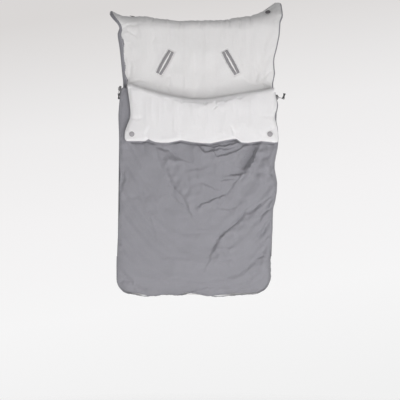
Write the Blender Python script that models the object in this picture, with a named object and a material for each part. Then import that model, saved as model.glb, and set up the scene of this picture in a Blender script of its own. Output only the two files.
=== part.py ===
"""Stroller footmuff, hung by its head end over a clothes rail, with its neck flap turned down.

X runs across the muff, -Y is its front and +Z is up. The origin lies on the axis of the rail.
The back panel hangs in front of the rail, folds over it and ends behind it in two standing ears.
The front cover zips to the back panel along both sides and turns down about a line near the foot.
"""

import bisect
import math

import bmesh
import bpy
from mathutils import Matrix, Vector

# Cloth, padding and the room between pieces that touch
SKIN = 0.0009
PADDING = 0.0056
GAP = 0.0003
OVERRUN = 0.004
PANEL = SKIN + GAP + PADDING + GAP + SKIN

# Rail and head fold
RAIL_RADIUS = 0.0275
RAIL_ROOM = 0.0005
FOLD_RADIUS = RAIL_RADIUS + RAIL_ROOM
HEAD_LENGTH = 0.104
FOLD_SLACK = 0.008
FOLD_TIGHT_HALF = 0.055
FOLD_SLACK_HALF = 0.140
EAR_RADIUS = {"left": 0.056, "right": 0.086}
EAR_WIDTH = {"left": 0.036, "right": 0.090}
EAR_FLARE = {"left": 0.029, "right": 0.012}
EAR_CORNER = 0.016
PRESSED_share = 0.75
PRESS_FADE = 0.030

# Outline of the back panel: half widths at four heights, measured from the rail's axis
HALF_WIDTH = {
    "left": {"head": 0.222, "waist": 0.213, "mouth": 0.2205, "foot": 0.228},
    "right": {"head": 0.230, "waist": 0.2165, "mouth": 0.225, "foot": 0.2035},
}
WAIST_DROP = 0.110
MOUTH_DROP = 0.160
FOOT_DROP = 0.754
FOOT_CORNER = 0.050

# Pouch between the back panel and the cover
POUCH_DEPTH = 0.017
POUCH_CROWN = 0.006
FOOT_DEPTH = 0.005
FOOT_RISE = 0.056

# Bend line of the cover, and the end of the zips above it
FOOT_POCKET_LENGTH = 0.074
BEND_DROP = FOOT_DROP - FOOT_POCKET_LENGTH
BEND_ROOM = 0.003
ZIP_END_ROOM = 0.040
ZIP_BOTTOM_DROP = BEND_DROP - ZIP_END_ROOM

# Turned mouth of the cover
MOUTH_EDGE_DROP = {"left": 0.150, "middle": 0.197, "right": 0.164}
ROLL_RADIUS = 0.0035
FLAP_LINE_DROP = 0.212
COVER_INSET = {"left": 0.0235, "right": 0.0}
INSET_END_DROP = 0.330

# Turned-down flap
FLAP_DROP = 0.319
FLAP_CORNER = 0.015
FLAP_SPREAD = {"left": 0.008, "right": 0.003}
FLAP_WAVE = 0.004
FLAP_WAVES = 3
HEM_WAVE = 0.003
HEM_WAVES = 4

# Creases of the hanging cover, as shares across it and down from the mouth to the foot
CREASE_PATH_shares = (
    ((0.846, 0.223), (0.864, 0.267), (0.825, 0.334), (0.730, 0.440)),
    ((0.794, 0.575), (0.635, 0.693), (0.584, 0.795)),
    ((0.284, 0.334), (0.410, 0.513), (0.463, 0.580)),
)
CREASE_DEPTH = 0.0035
CREASE_WIDTH = 0.022

# Zips: a toothed chain, two tapes, a slider with its bail, and a pull
SLIDER_DROP = {"left": 0.165, "right": 0.190}
TOOTH_PITCH = 0.008
TOOTH_LENGTH = 0.0033
TOOTH_THICK = 0.0030
TOOTH_MESH = 0.0024
TOOTH_SPINE = 0.0008
TOOTH_TAPER_share = 0.8
STOP_LENGTH = 0.004
SLIDER_LENGTH = 0.014
SLIDER_WIDTH = 0.012
SLIDER_PLATE = 0.0013
SLIDER_TAIL_share = 0.62
SLIDER_ROOM = 0.0004
SLIDER_LIP = 0.0011
POST_LENGTH = 0.0028
BAIL_LENGTH = 0.0075
BAIL_WIDTH = 0.0022
BAIL_RISE = 0.0020
BAIL_THICK = 0.0010
TAPE_TAIL = 0.008
WIRE_RADIUS = 0.0006
LINK_LENGTH = 0.0150
LINK_WIDTH = 0.0076
LINK_TIP_WIDTH = 0.0064
GRIP_LENGTH = 0.0170
GRIP_THICK = 0.0034
GRIP_EYE = 0.0010
GRIP_WAIST_share = 0.62
PULL_DROOP = {"left": math.radians(90), "right": math.radians(12)}
GRIP_TURN = {"left": math.radians(90), "right": 0.0}

# Press studs
STUD_RADIUS = 0.0075
STUD_DOME = 0.0016
STUD_RIM = 0.0008
STUD_EDGE_share = 0.7
SHANK_RADIUS = 0.0016
SHANK_STICK = 0.0010
SOCKET_RADIUS = 0.0060
SOCKET_HEIGHT = 0.0030
SOCKET_BORE = 0.0031
SOCKET_CHAMFER = 0.0008
BALL_RADIUS = 0.0025
BALL_HEIGHT = 0.0029
BALL_NECK_share = 0.8
BALL_BASE = 0.0013
WASHER_HEIGHT = 0.0012
FLAP_STUD_IN = {"left": 0.0175, "right": 0.0225}
FLAP_STUD_UP = 0.0225
EAR_STUD_IN = 0.034
EAR_STUD_UP = 0.048

# Harness slots: place, size and tilt of each, and the welts that bind them
SLIT_WIDTH = 0.0065
WELT_WIDTH = 0.0048
WELT_THICK = 0.0008
SHOULDER_X = 0.0940
SHOULDER_DROP = 0.0905
SHOULDER_LENGTH = 0.072
SHOULDER_TILT = math.radians(29)
WAIST_SLOT_X = 0.090
WAIST_SLOT_DROP = 0.345
WAIST_SLOT_LENGTH = 0.046
CROTCH_SLOT_DROP = 0.445
CROTCH_SLOT_LENGTH = 0.060

# Rear of the back panel
PAD_WIDTH = 0.260
PAD_HEIGHT = 0.160
PAD_DROP = 0.555
PAD_CORNER = 0.020
PAD_THICK = 0.0012
BAND_LENGTH = 0.340
BAND_WIDTH = 0.030
BAND_DROP = 0.150
BAND_THICK = 0.0015

# Joint axes of the cover and the flap
FLAP_HINGE_ROOM = 0.001
AXIS_MARK_SIZE = 0.030

# Fineness of the meshes
WELD_DISTANCE = 0.000003
ACROSS_COUNT = 12
FOLD_STEPS = 9
ROLL_STEPS = 6
CORNER_STEPS = 3
COVER_STEPS = 12
FLAP_STEPS = 6
FOOT_STEPS = 3
TURN_STEPS = 10
SEAT_SAMPLES = 12
SMOOTH_ANGLE = math.radians(40)

# Places worked out from the sizes above
BACK_REAR = -FOLD_RADIUS
BACK_FRONT = BACK_REAR - PANEL
BEND_Z = -BEND_DROP
FLAP_LINE_Z = -FLAP_LINE_DROP
COVER_FRONT = BACK_FRONT - POUCH_DEPTH - POUCH_CROWN - PANEL
BEND_Y = COVER_FRONT - BEND_ROOM
FLAP_HINGE_Y = COVER_FRONT - 2.0 * ROLL_RADIUS - PANEL - FLAP_HINGE_ROOM
ZIP_Y = BACK_FRONT - POUCH_DEPTH / 2
SIGN = {"left": -1, "right": 1}


def end_share(side):
    """Place of a side edge across the cloth, as a share of its width from the left."""
    return 0.0 if side == "left" else 1.0


def clear_scene():
    for item in list(bpy.data.objects):
        bpy.data.objects.remove(item)


def lerp(start, end, share):
    return start + (end - start) * share


def ramp(value, start, end):
    """Smooth step from 0 at start to 1 at end."""
    share = min(max((value - start) / (end - start), 0.0), 1.0)
    return share * share * (3.0 - 2.0 * share)


def corner_inset(distance, radius):
    """How far a rounded corner draws the edge in, at a distance from the end."""
    if distance >= radius:
        return 0.0
    return radius - math.sqrt(max(radius**2 - (radius - distance) ** 2, 0.0))


def corner_rows(radius):
    """Distances from the end at which a rounded corner gets a row of points."""
    turns = [math.pi / 2 * step / CORNER_STEPS for step in range(CORNER_STEPS + 1)]
    return [radius * (1.0 - math.cos(turn)) for turn in turns]


def spread(start, end, count):
    return [lerp(start, end, step / count) for step in range(count + 1)]


# Materials


def make_material(name, colour, roughness, metallic=0.0, sheen=0.0):
    material = bpy.data.materials.new(name)
    material.use_nodes = True
    shader = material.node_tree.nodes["Principled BSDF"]
    shader.inputs["Base Color"].default_value = (*colour, 1.0)
    shader.inputs["Roughness"].default_value = roughness
    shader.inputs["Metallic"].default_value = metallic
    shader.inputs["Sheen Weight"].default_value = sheen
    material.diffuse_color = (*colour, 1.0)
    return material


def make_materials():
    return {
        "shell": make_material("grey_shell_cloth", (0.27, 0.27, 0.29), 0.6, sheen=0.2),
        "lining": make_material("pale_cotton_lining", (0.74, 0.73, 0.73), 0.9),
        "padding": make_material("polyester_padding", (0.88, 0.88, 0.88), 1.0),
        "welt": make_material("grey_welt_tape", (0.23, 0.23, 0.24), 0.8),
        "tape": make_material("dark_zip_tape", (0.12, 0.12, 0.13), 0.8),
        "teeth": make_material("grey_moulded_teeth", (0.10, 0.10, 0.11), 0.45),
        "metal": make_material("painted_zip_metal", (0.08, 0.08, 0.085), 0.35, metallic=0.8),
        "stud": make_material("grey_stud_cap", (0.26, 0.26, 0.27), 0.4),
        "stud_back": make_material("steel_stud_back", (0.55, 0.55, 0.56), 0.35, metallic=0.9),
        "grip": make_material("black_pull_grip", (0.015, 0.015, 0.017), 0.55),
        "rubber": make_material("grip_dotted_backing", (0.10, 0.10, 0.11), 0.9),
        "elastic": make_material("woven_elastic_band", (0.05, 0.05, 0.055), 0.85),
    }


# Mesh helpers


def add_object(name, mesh_or_curve, material):
    item = bpy.data.objects.new(name, mesh_or_curve)
    bpy.context.scene.collection.objects.link(item)
    item.data.materials.append(material)
    return item


def finish_mesh(name, bm, material, matrix=None):
    """Turn a bmesh into a named object with its faces pointing out."""
    bmesh.ops.recalc_face_normals(bm, faces=bm.faces)
    if bm.calc_volume(signed=True) < 0.0:
        bmesh.ops.reverse_faces(bm, faces=bm.faces)
    mesh = bpy.data.meshes.new(name)
    bm.to_mesh(mesh)
    bm.free()
    mesh.shade_smooth()
    mesh.set_sharp_from_angle(angle=SMOOTH_ANGLE)
    item = add_object(name, mesh, material)
    if matrix:
        item.matrix_world = matrix
    return item


def add_block(bm, corners_low, corners_high):
    """Closed block between two matching loops of corners."""
    low = [bm.verts.new(corner) for corner in corners_low]
    high = [bm.verts.new(corner) for corner in corners_high]
    bm.faces.new(low)
    bm.faces.new(reversed(high))
    for index in range(len(low)):
        after = (index + 1) % len(low)
        bm.faces.new((low[index], high[index], high[after], low[after]))


def box_corners(x_ends, y_ends, z):
    low_x, high_x = x_ends
    low_y, high_y = y_ends
    return [(low_x, low_y, z), (high_x, low_y, z), (high_x, high_y, z), (low_x, high_y, z)]


def add_box(bm, x_ends, y_ends, z_ends):
    add_block(bm, box_corners(x_ends, y_ends, z_ends[0]), box_corners(x_ends, y_ends, z_ends[1]))


def make_sheet(name, place, columns, rows, depths, material):
    """Closed sheet between two depths of a panel, whose points place(u, v, depth) gives."""
    bm = bmesh.new()
    layers = []
    for depth in depths:
        grid = [[bm.verts.new(place(u, v, depth(u, v))) for u in columns] for v in rows]
        layers.append(grid)
        for low, high in zip(grid, grid[1:]):
            for left in range(len(columns) - 1):
                bm.faces.new((low[left], low[left + 1], high[left + 1]))
                bm.faces.new((low[left], high[left + 1], high[left]))
    near, far = [rim_of(grid) for grid in layers]
    for index in range(len(near)):
        after = (index + 1) % len(near)
        bm.faces.new((near[index], near[after], far[after], far[index]))
    return finish_mesh(name, bm, material)


def rim_of(grid):
    """The outer points of a grid, in order round it."""
    right = [row[-1] for row in grid[1:-1]]
    left = [row[0] for row in grid[1:-1]]
    return grid[0] + right + grid[-1][::-1] + left[::-1]


def make_wall(name, outer_front, outer_back, inner_front, inner_back, material):
    """Closed strip between four matching lines of points."""
    bm = bmesh.new()
    loop = (outer_front, outer_back, inner_back, inner_front)
    lines = [[bm.verts.new(point) for point in line] for line in loop]
    for first, second in zip(lines, lines[1:] + lines[:1]):
        for index in range(len(first) - 1):
            bm.faces.new((first[index], first[index + 1], second[index + 1], second[index]))
    bm.faces.new([line[0] for line in lines])
    bm.faces.new([line[-1] for line in lines])
    return finish_mesh(name, bm, material)


def make_turned(name, profile, matrix, material):
    """Solid turned about its own Z axis from a closed profile of radius and height."""
    bm = bmesh.new()
    points = [bm.verts.new((radius, 0.0, height)) for radius, height in profile]
    closed = all(radius > 0.0 for radius, _ in profile)
    pairs = list(zip(points, points[1:]))
    if closed:
        pairs.append((points[-1], points[0]))
    edges = [bm.edges.new(pair) for pair in pairs]
    bmesh.ops.spin(
        bm,
        geom=points + edges,
        cent=(0.0, 0.0, 0.0),
        axis=(0.0, 0.0, 1.0),
        angle=math.tau,
        steps=TURN_STEPS,
        use_merge=True,
    )
    bmesh.ops.remove_doubles(bm, verts=bm.verts, dist=WELD_DISTANCE)
    return finish_mesh(name, bm, material, matrix)


def hide_helper(item):
    item.hide_render = True
    item.display_type = "WIRE"


def add_boolean(item, other, operation):
    modifier = item.modifiers.new(f"{operation.lower()}_{other.name}", "BOOLEAN")
    modifier.operation = operation
    modifier.solver = "EXACT"
    modifier.object = other
    hide_helper(other)


def fixed(depth):
    """The same depth all over a panel."""
    return lambda u, v: depth


# Outline of the muff


def half_width(side, z):
    """Half width of the back panel at a height, without the foot's rounded corners."""
    width = HALF_WIDTH[side]
    if z >= -WAIST_DROP:
        return lerp(width["waist"], width["head"], ramp(z, -WAIST_DROP, 0.0))
    if z >= -MOUTH_DROP:
        return lerp(width["mouth"], width["waist"], ramp(z, -MOUTH_DROP, -WAIST_DROP))
    return lerp(width["mouth"], width["foot"], (-MOUTH_DROP - z) / (FOOT_DROP - MOUTH_DROP))


def edge_x(side, z):
    inset = corner_inset(FOOT_DROP + z, FOOT_CORNER) if z < 0.0 else 0.0
    return SIGN[side] * (half_width(side, z) - inset)


def across(u, z):
    return lerp(edge_x("left", z), edge_x("right", z), u)


# Back panel, over the rail


def fold_radius(x):
    """Radius of the head fold: tight on the rail in the middle, slack to the sides, open at the ears."""
    slack = FOLD_RADIUS + FOLD_SLACK * ramp(abs(x), FOLD_TIGHT_HALF, FOLD_SLACK_HALF)
    side = "left" if x < 0.0 else "right"
    head = HALF_WIDTH[side]["head"]
    opening = ramp(abs(x), head - EAR_WIDTH[side], head)
    return lerp(slack, EAR_RADIUS[side], opening)


def back_place(u, s, depth):
    """Point of the back panel: s is the length along it, counted up from the rail's axis height."""
    if s <= 0.0:
        return Vector((across(u, s), BACK_REAR - depth, s))
    x = across(u, 0.0)
    side = "left" if x < 0.0 else "right"
    head = HALF_WIDTH[side]["head"]
    radius = fold_radius(x)
    turn = min(s / radius, math.pi)
    straight = s - turn * radius
    ear = ramp(abs(x), head - EAR_WIDTH[side], head)
    tip = corner_inset(HEAD_LENGTH - s, EAR_CORNER)
    x += SIGN[side] * (EAR_FLARE[side] * ramp(s, 0.0, HEAD_LENGTH) * ear - tip * abs(x) / head)
    y = BACK_REAR + radius * (1.0 - math.cos(turn)) - depth * math.cos(turn)
    z = radius * math.sin(turn) + depth * math.sin(turn)
    return Vector((x, y, z - straight))


def padding_at(u, s):
    """Padding of the back panel, pressed thin where it bears on the rail."""
    x = across(u, min(s, 0.0))
    on_rail = ramp(s, -PRESS_FADE, 0.0) * (1.0 - ramp(s, math.pi * FOLD_RADIUS - PRESS_FADE, HEAD_LENGTH))
    middle = 1.0 - ramp(abs(x), FOLD_TIGHT_HALF, FOLD_SLACK_HALF)
    return PADDING * (1.0 - PRESSED_share * on_rail * middle)


def back_depths(layer):
    """Depths of a layer's two faces. Of the cloths, the face that shows comes first."""
    if layer == "shell":
        return fixed(0.0), fixed(SKIN)
    start = SKIN + GAP
    if layer == "wadding":
        return fixed(start), lambda u, s: start + padding_at(u, s)
    return (
        lambda u, s: start + padding_at(u, s) + GAP + SKIN,
        lambda u, s: start + padding_at(u, s) + GAP,
    )


def back_rows():
    foot = [-FOOT_DROP + distance for distance in corner_rows(FOOT_CORNER)]
    body = spread(foot[-1], -MOUTH_DROP, 4)[1:]
    waist = spread(-MOUTH_DROP, -WAIST_DROP, 2)[1:]
    head = spread(-WAIST_DROP, 0.0, 4)[1:]
    fold = spread(0.0, HEAD_LENGTH - EAR_CORNER, FOLD_STEPS - 2)[1:]
    tips = [HEAD_LENGTH - distance for distance in corner_rows(EAR_CORNER)[::-1]][1:]
    return foot + body + waist + head + fold + tips


def make_back(materials, cutters):
    columns = panel_columns()
    colour = {"shell": "shell", "wadding": "padding", "lining": "lining"}
    for layer in ("shell", "wadding", "lining"):
        material = materials[colour[layer]]
        sheet = make_sheet(f"back_{layer}", back_place, columns, back_rows(), back_depths(layer), material)
        for cutter in cutters:
            add_boolean(sheet, cutter, "DIFFERENCE")


def border_front(s):
    """How far forward the back panel's border reaches: right across the pouch below the zip."""
    return POUCH_DEPTH if s < -ZIP_BOTTOM_DROP - STOP_LENGTH - OVERRUN / 2 else GAP


def make_back_border(side, materials):
    """Strip of shell cloth over the raw side edge of the back panel, from the bend line to the ear."""
    sign = SIGN[side]
    stop = -ZIP_BOTTOM_DROP - STOP_LENGTH
    rows = [BEND_Z + GAP / 2, stop - OVERRUN, stop]
    rows += [row for row in back_rows() if row > stop + OVERRUN]
    outer_front, outer_back, inner_front, inner_back = [], [], [], []
    for s in rows:
        thickness = SKIN + GAP + padding_at(end_share(side), s) + GAP + SKIN
        reach = thickness + border_front(s) - GAP
        step_out = Vector((sign, 0.0, 0.0))
        front = back_place(end_share(side), s, reach)
        back = back_place(end_share(side), s, 0.0)
        inner_front.append(front + step_out * GAP)
        inner_back.append(back + step_out * GAP)
        outer_front.append(front + step_out * (GAP + SKIN))
        outer_back.append(back + step_out * (GAP + SKIN))
    make_wall(f"back_border_{side}", outer_front, outer_back, inner_front, inner_back, materials["shell"])


# Front of the muff: cover, foot pocket and flap


def pouch_depth(u, z):
    crown = POUCH_CROWN * (1.0 + math.cos(math.pi * (2.0 * u - 1.0))) / 2.0
    rise = ramp(z, -FOOT_DROP, -FOOT_DROP + FOOT_RISE)
    return lerp(FOOT_DEPTH, POUCH_DEPTH + crown, rise)


def distance_to_path(point, path):
    best = math.inf
    for start, end in zip(path, path[1:]):
        run = end - start
        share = min(max((point - start).dot(run) / run.length_squared, 0.0), 1.0)
        best = min(best, (start + run * share - point).length)
    return best


def crease_paths():
    paths = []
    top = -MOUTH_EDGE_DROP["middle"]
    for shares in CREASE_PATH_shares:
        heights = [lerp(top, -FOOT_DROP, down) for _, down in shares]
        paths.append([Vector((across(u, z), z)) for (u, _), z in zip(shares, heights)])
    return paths


CREASES = crease_paths()


def crease_depth(x, z):
    point = Vector((x, z))
    distance = min(distance_to_path(point, path) for path in CREASES)
    return CREASE_DEPTH * math.exp(-((distance / CREASE_WIDTH) ** 2))


def cover_inset(side, z):
    return COVER_INSET[side] * ramp(z, -ZIP_BOTTOM_DROP, -INSET_END_DROP)


def cover_across(u, z):
    left = edge_x("left", z) + cover_inset("left", z)
    right = edge_x("right", z) - cover_inset("right", z)
    return lerp(left, right, u)


def shell_front(u, z):
    """Front face of the cover's shell."""
    return BACK_FRONT - pouch_depth(u, z) - PANEL + crease_depth(cover_across(u, z), z)


def panel_depths(layer):
    """Depths of a layer of the front panels, counted from the shell's outer face towards the lining."""
    padding = SKIN + GAP
    lining = padding + PADDING + GAP
    return {
        "shell": (fixed(0.0), fixed(SKIN)),
        "wadding": (fixed(padding), fixed(padding + PADDING)),
        "lining": (fixed(lining), fixed(lining + SKIN)),
    }[layer]


def foot_place(u, z, depth):
    return Vector((cover_across(u, z), shell_front(u, z) + depth, z))


def mouth_edge(u):
    """Height of the top of the turned mouth: it sags towards the middle."""
    side = "left" if u < 0.5 else "right"
    return -lerp(MOUTH_EDGE_DROP["middle"], MOUTH_EDGE_DROP[side], (2.0 * u - 1.0) ** 2)


def cover_place(u, v, depth):
    """Point of the cover: v runs up its front to 1, over the mouth to 2 and down to the flap line at 3."""
    roll_z = mouth_edge(u) - ROLL_RADIUS - PANEL
    if v <= 1.0:
        z = lerp(BEND_Z + GAP / 2, roll_z, v)
        return Vector((cover_across(u, z), shell_front(u, z) + depth, z))
    x = cover_across(u, roll_z)
    roll_y = shell_front(u, roll_z) - ROLL_RADIUS
    turn = math.pi * min(v - 1.0, 1.0)
    y = roll_y + (ROLL_RADIUS + depth) * math.cos(turn)
    z = roll_z + (ROLL_RADIUS + depth) * math.sin(turn)
    down = max(v - 2.0, 0.0)
    return Vector((flap_across(u, z) if v > 2.0 else x, y, lerp(z, FLAP_LINE_Z + GAP / 2, down)))


def flap_across(u, z):
    """Across the flap: it spreads a little towards its lower corners."""
    roll_z = mouth_edge(u) - ROLL_RADIUS - PANEL
    low = ramp(z, FLAP_LINE_Z, -FLAP_DROP)
    left = cover_across(0.0, roll_z) - FLAP_SPREAD["left"] * low
    right = cover_across(1.0, roll_z) + FLAP_SPREAD["right"] * low
    return lerp(left, right, u)


def flap_place(u, v, depth):
    """Point of the flap: v runs from 0 at the flap line to 1 at the hem."""
    hem = -FLAP_DROP + HEM_WAVE * math.cos(math.tau * HEM_WAVES * u)
    z = lerp(FLAP_LINE_Z - GAP / 2, hem, v)
    length = FLAP_DROP - FLAP_LINE_DROP
    inset = corner_inset(length * (1.0 - v), FLAP_CORNER)
    x = flap_across(u, z)
    x += inset * (1.0 - 2.0 * u)
    roll_z = mouth_edge(u) - ROLL_RADIUS - PANEL
    clear_of_cover = shell_front(u, roll_z) - 2.0 * ROLL_RADIUS
    wave = FLAP_WAVE * ramp(v, 0.0, 1.0) * math.sin(math.pi * FLAP_WAVES * flap_share(x)) ** 2
    return Vector((x, clear_of_cover - wave - depth, z))


def flap_stud_place(side):
    """Across and up: the studs sit near the flap's lower corners."""
    corner = flap_across(end_share(side), -FLAP_DROP)
    return corner - SIGN[side] * FLAP_STUD_IN[side], -FLAP_DROP + FLAP_STUD_UP


def flap_share(x):
    """0 at the left stud and 1 at the right one."""
    left, _ = flap_stud_place("left")
    right, _ = flap_stud_place("right")
    return (x - left) / (right - left)


def panel_columns():
    return spread(0.0, 1.0, ACROSS_COUNT)


def foot_rows():
    foot = [-FOOT_DROP + distance for distance in corner_rows(FOOT_CORNER)]
    return foot + spread(foot[-1], BEND_Z - GAP / 2, FOOT_STEPS)[1:]


def cover_rows():
    return spread(0.0, 1.0, COVER_STEPS) + spread(1.0, 2.0, ROLL_STEPS)[1:] + [3.0]


def flap_rows():
    length = FLAP_DROP - FLAP_LINE_DROP
    hem = [1.0 - distance / length for distance in corner_rows(FLAP_CORNER)[::-1]]
    return spread(0.0, hem[0], FLAP_STEPS) + hem[1:]


def make_front(materials, cover_cutters, flap_cutters):
    columns = panel_columns()
    colour = {"shell": "shell", "wadding": "padding", "lining": "lining"}
    for layer in ("shell", "wadding", "lining"):
        material = materials[colour[layer]]
        depths = panel_depths(layer)
        make_sheet(f"foot_pocket_{layer}", foot_place, columns, foot_rows(), depths, material)
        cover = make_sheet(f"cover_{layer}", cover_place, columns, cover_rows(), depths, material)
        flap = make_sheet(f"flap_{layer}", flap_place, columns, flap_rows(), depths, material)
        for cutter in cover_cutters:
            add_boolean(cover, cutter, "DIFFERENCE")
        for cutter in flap_cutters:
            add_boolean(flap, cutter, "DIFFERENCE")


def make_foot_binding(materials):
    """Side wall of the foot pocket, sewn round the foot end from bend line to bend line."""
    rows = foot_rows()
    right = [(1.0, z, corner_normal(z, 1)) for z in rows]
    left = [(0.0, z, corner_normal(z, -1)) for z in rows[::-1]]
    bottom = [(u, -FOOT_DROP, Vector((0.0, 0.0, -1.0))) for u in spread(0.0, 1.0, ACROSS_COUNT)[1:-1]]
    outer_front, outer_back, inner_front, inner_back = [], [], [], []
    for u, z, out in left + bottom + right:
        front = foot_place(u, z, 0.0)
        back = Vector((front.x, BACK_REAR, front.z))
        inner_front.append(front + out * GAP)
        inner_back.append(back + out * GAP)
        outer_front.append(front + out * (GAP + SKIN))
        outer_back.append(back + out * (GAP + SKIN))
    make_wall("foot_binding", outer_front, outer_back, inner_front, inner_back, materials["shell"])


def corner_normal(z, sign):
    """Outward direction of the foot outline at a height."""
    down = min(max((FOOT_CORNER - (FOOT_DROP + z)) / FOOT_CORNER, 0.0), 1.0)
    turn = math.asin(down)
    return Vector((sign * math.cos(turn), 0.0, -math.sin(turn)))


def make_cover_gusset(side, materials):
    """Strip of shell cloth from the cover's side edge back to the zip tape."""
    sign = SIGN[side]
    u = end_share(side)
    top = mouth_edge(u) - ROLL_RADIUS - PANEL
    outer_front, outer_back, inner_front, inner_back = [], [], [], []
    for z in spread(BEND_Z + GAP / 2, top, COVER_STEPS):
        outward = sign * (GAP + SKIN)
        front = Vector((cover_across(u, z) + outward, shell_front(u, z), z))
        back = Vector((edge_x(side, z) + outward, BACK_FRONT - POUCH_DEPTH, z))
        run = back - front
        inward = Vector((-sign * run.y, sign * run.x, 0.0)).normalized() * SKIN
        back.y -= max(inward.y, 0.0)
        outer_front.append(front)
        outer_back.append(back)
        inner_front.append(front + inward)
        inner_back.append(back + inward)
    make_wall(f"cover_gusset_{side}", outer_front, outer_back, inner_front, inner_back, materials["shell"])


# Harness slots


def slot_list():
    """Each slot as name, place across, height, length and tilt from the vertical."""
    slots = []
    for side in ("left", "right"):
        x = SIGN[side] * SHOULDER_X
        tilt = -SIGN[side] * SHOULDER_TILT
        slots.append((f"shoulder_welt_{side}", x, -SHOULDER_DROP, SHOULDER_LENGTH, tilt))
    for side in ("left", "right"):
        x = SIGN[side] * WAIST_SLOT_X
        slots.append((f"waist_welt_{side}", x, -WAIST_SLOT_DROP, WAIST_SLOT_LENGTH, 0.0))
    slots.append(("crotch_welt", 0.0, -CROTCH_SLOT_DROP, CROTCH_SLOT_LENGTH, math.pi / 2))
    return slots


def slot_matrix(x, z, tilt):
    """Frame of a slot: its Z along the slit, its Y towards the rear of the muff."""
    return Matrix.Translation((x, BACK_FRONT, z)) @ Matrix.Rotation(tilt, 4, "Y")


def make_slot_cutter():
    bm = bmesh.new()
    for _, x, z, length, tilt in slot_list():
        reach = SLIT_WIDTH / 2 + WELT_THICK + GAP
        slot = bmesh.new()
        half = length / 2
        add_box(slot, (-reach, reach), (-OVERRUN, PANEL + OVERRUN), (-half, half))
        slot.transform(slot_matrix(x, z, tilt))
        piece = bpy.data.meshes.new("slot")
        slot.to_mesh(piece)
        slot.free()
        bm.from_mesh(piece)
        bpy.data.meshes.remove(piece)
    cutter = finish_mesh("slot_cutter", bm, make_material("cutter", (1.0, 0.0, 0.0), 1.0))
    hide_helper(cutter)
    return cutter


def make_welts(name, x, z, length, tilt, materials):
    """Two folded strips that bind a slit: each has a flange on the lining and a web through the panel."""
    inner = SLIT_WIDTH / 2
    web = inner + WELT_THICK
    flange = inner + WELT_WIDTH
    face = -GAP
    top = face - WELT_THICK
    half = length / 2 - GAP
    for sign, word in ((-1, "a"), (1, "b")):
        bm = bmesh.new()
        profile = [(inner, top), (flange, top), (flange, face), (web, face), (web, PANEL), (inner, PANEL)]
        low = [(sign * across_slit, y, -half) for across_slit, y in profile]
        high = [(sign * across_slit, y, half) for across_slit, y in profile]
        add_block(bm, low, high)
        finish_mesh(f"{name}_{word}", bm, materials["welt"], slot_matrix(x, z, tilt))


# Press studs


def stud_frame(point, axis):
    """Frame whose Z points out of the cloth."""
    turn = Vector((0.0, 0.0, 1.0)).rotation_difference(axis).to_matrix().to_4x4()
    return Matrix.Translation(point) @ turn


def make_hole_cutter(name, frame):
    bm = bmesh.new()
    reach = PANEL + OVERRUN
    bmesh.ops.create_cone(
        bm,
        cap_ends=True,
        segments=TURN_STEPS,
        radius1=SHANK_RADIUS + GAP,
        radius2=SHANK_RADIUS + GAP,
        depth=2.0 * reach,
    )
    cutter = finish_mesh(name, bm, bpy.data.materials["cutter"], frame)
    hide_helper(cutter)
    return cutter


def make_stud_cap(name, frame, seat, end, material):
    """Domed cap on the face of the cloth, with the shank that goes through it."""
    edge = STUD_EDGE_share * STUD_RADIUS
    profile = [
        (0.0, seat + STUD_DOME),
        (edge, seat + STUD_DOME - STUD_RIM / 2),
        (STUD_RADIUS, seat + STUD_RIM),
        (STUD_RADIUS, seat),
        (SHANK_RADIUS, seat),
        (SHANK_RADIUS, end),
        (0.0, end),
    ]
    make_turned(name, profile, frame, material)


def make_stud_socket(name, frame, seat, material):
    """Ring clamped on the shank at the back of the cloth, open to take a ball."""
    bore = SHANK_RADIUS + GAP
    floor = seat - SOCKET_HEIGHT / 2
    profile = [
        (SOCKET_RADIUS, seat),
        (SOCKET_RADIUS, floor),
        (SOCKET_RADIUS - SOCKET_CHAMFER, seat - SOCKET_HEIGHT),
        (SOCKET_BORE, seat - SOCKET_HEIGHT),
        (SOCKET_BORE, floor),
        (bore, floor),
        (bore, seat),
    ]
    make_turned(name, profile, frame, material)


def make_ball_stud(name, frame, seat, end, material):
    """Ball of the mating half on the cover's face, with the shank that goes through the cover."""
    neck = BALL_NECK_share * BALL_RADIUS
    profile = [
        (0.0, seat + BALL_BASE + BALL_HEIGHT),
        (neck, seat + BALL_BASE + BALL_HEIGHT),
        (BALL_RADIUS, seat + BALL_BASE + BALL_HEIGHT / 2),
        (neck, seat + BALL_BASE),
        (SOCKET_RADIUS, seat + BALL_BASE),
        (SOCKET_RADIUS, seat),
        (SHANK_RADIUS, seat),
        (SHANK_RADIUS, end),
        (0.0, end),
    ]
    make_turned(name, profile, frame, material)


def make_washer(name, frame, seat, material):
    bore = SHANK_RADIUS + GAP
    low = seat - WASHER_HEIGHT
    profile = [(SOCKET_RADIUS, seat), (SOCKET_RADIUS, low), (bore, low), (bore, seat)]
    make_turned(name, profile, frame, material)


def faceted(place, columns, rows, depth):
    """The face of a sheet as its triangles lie, at u, v and a depth of the panel."""

    def point_on(u, v):
        column = min(max(bisect.bisect_right(columns, u) - 1, 0), len(columns) - 2)
        row = min(max(bisect.bisect_right(rows, v) - 1, 0), len(rows) - 2)
        left, right = columns[column], columns[column + 1]
        low, high = rows[row], rows[row + 1]
        over = (u - left) / (right - left)
        up = (v - low) / (high - low)
        corner = place(left, low, depth(left, low))
        far = place(right, high, depth(right, high))
        if over >= up:
            side = place(right, low, depth(right, low))
            return corner + (side - corner) * over + (far - side) * up
        side = place(left, high, depth(left, high))
        return corner + (far - side) * over + (side - corner) * up

    return point_on


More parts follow.
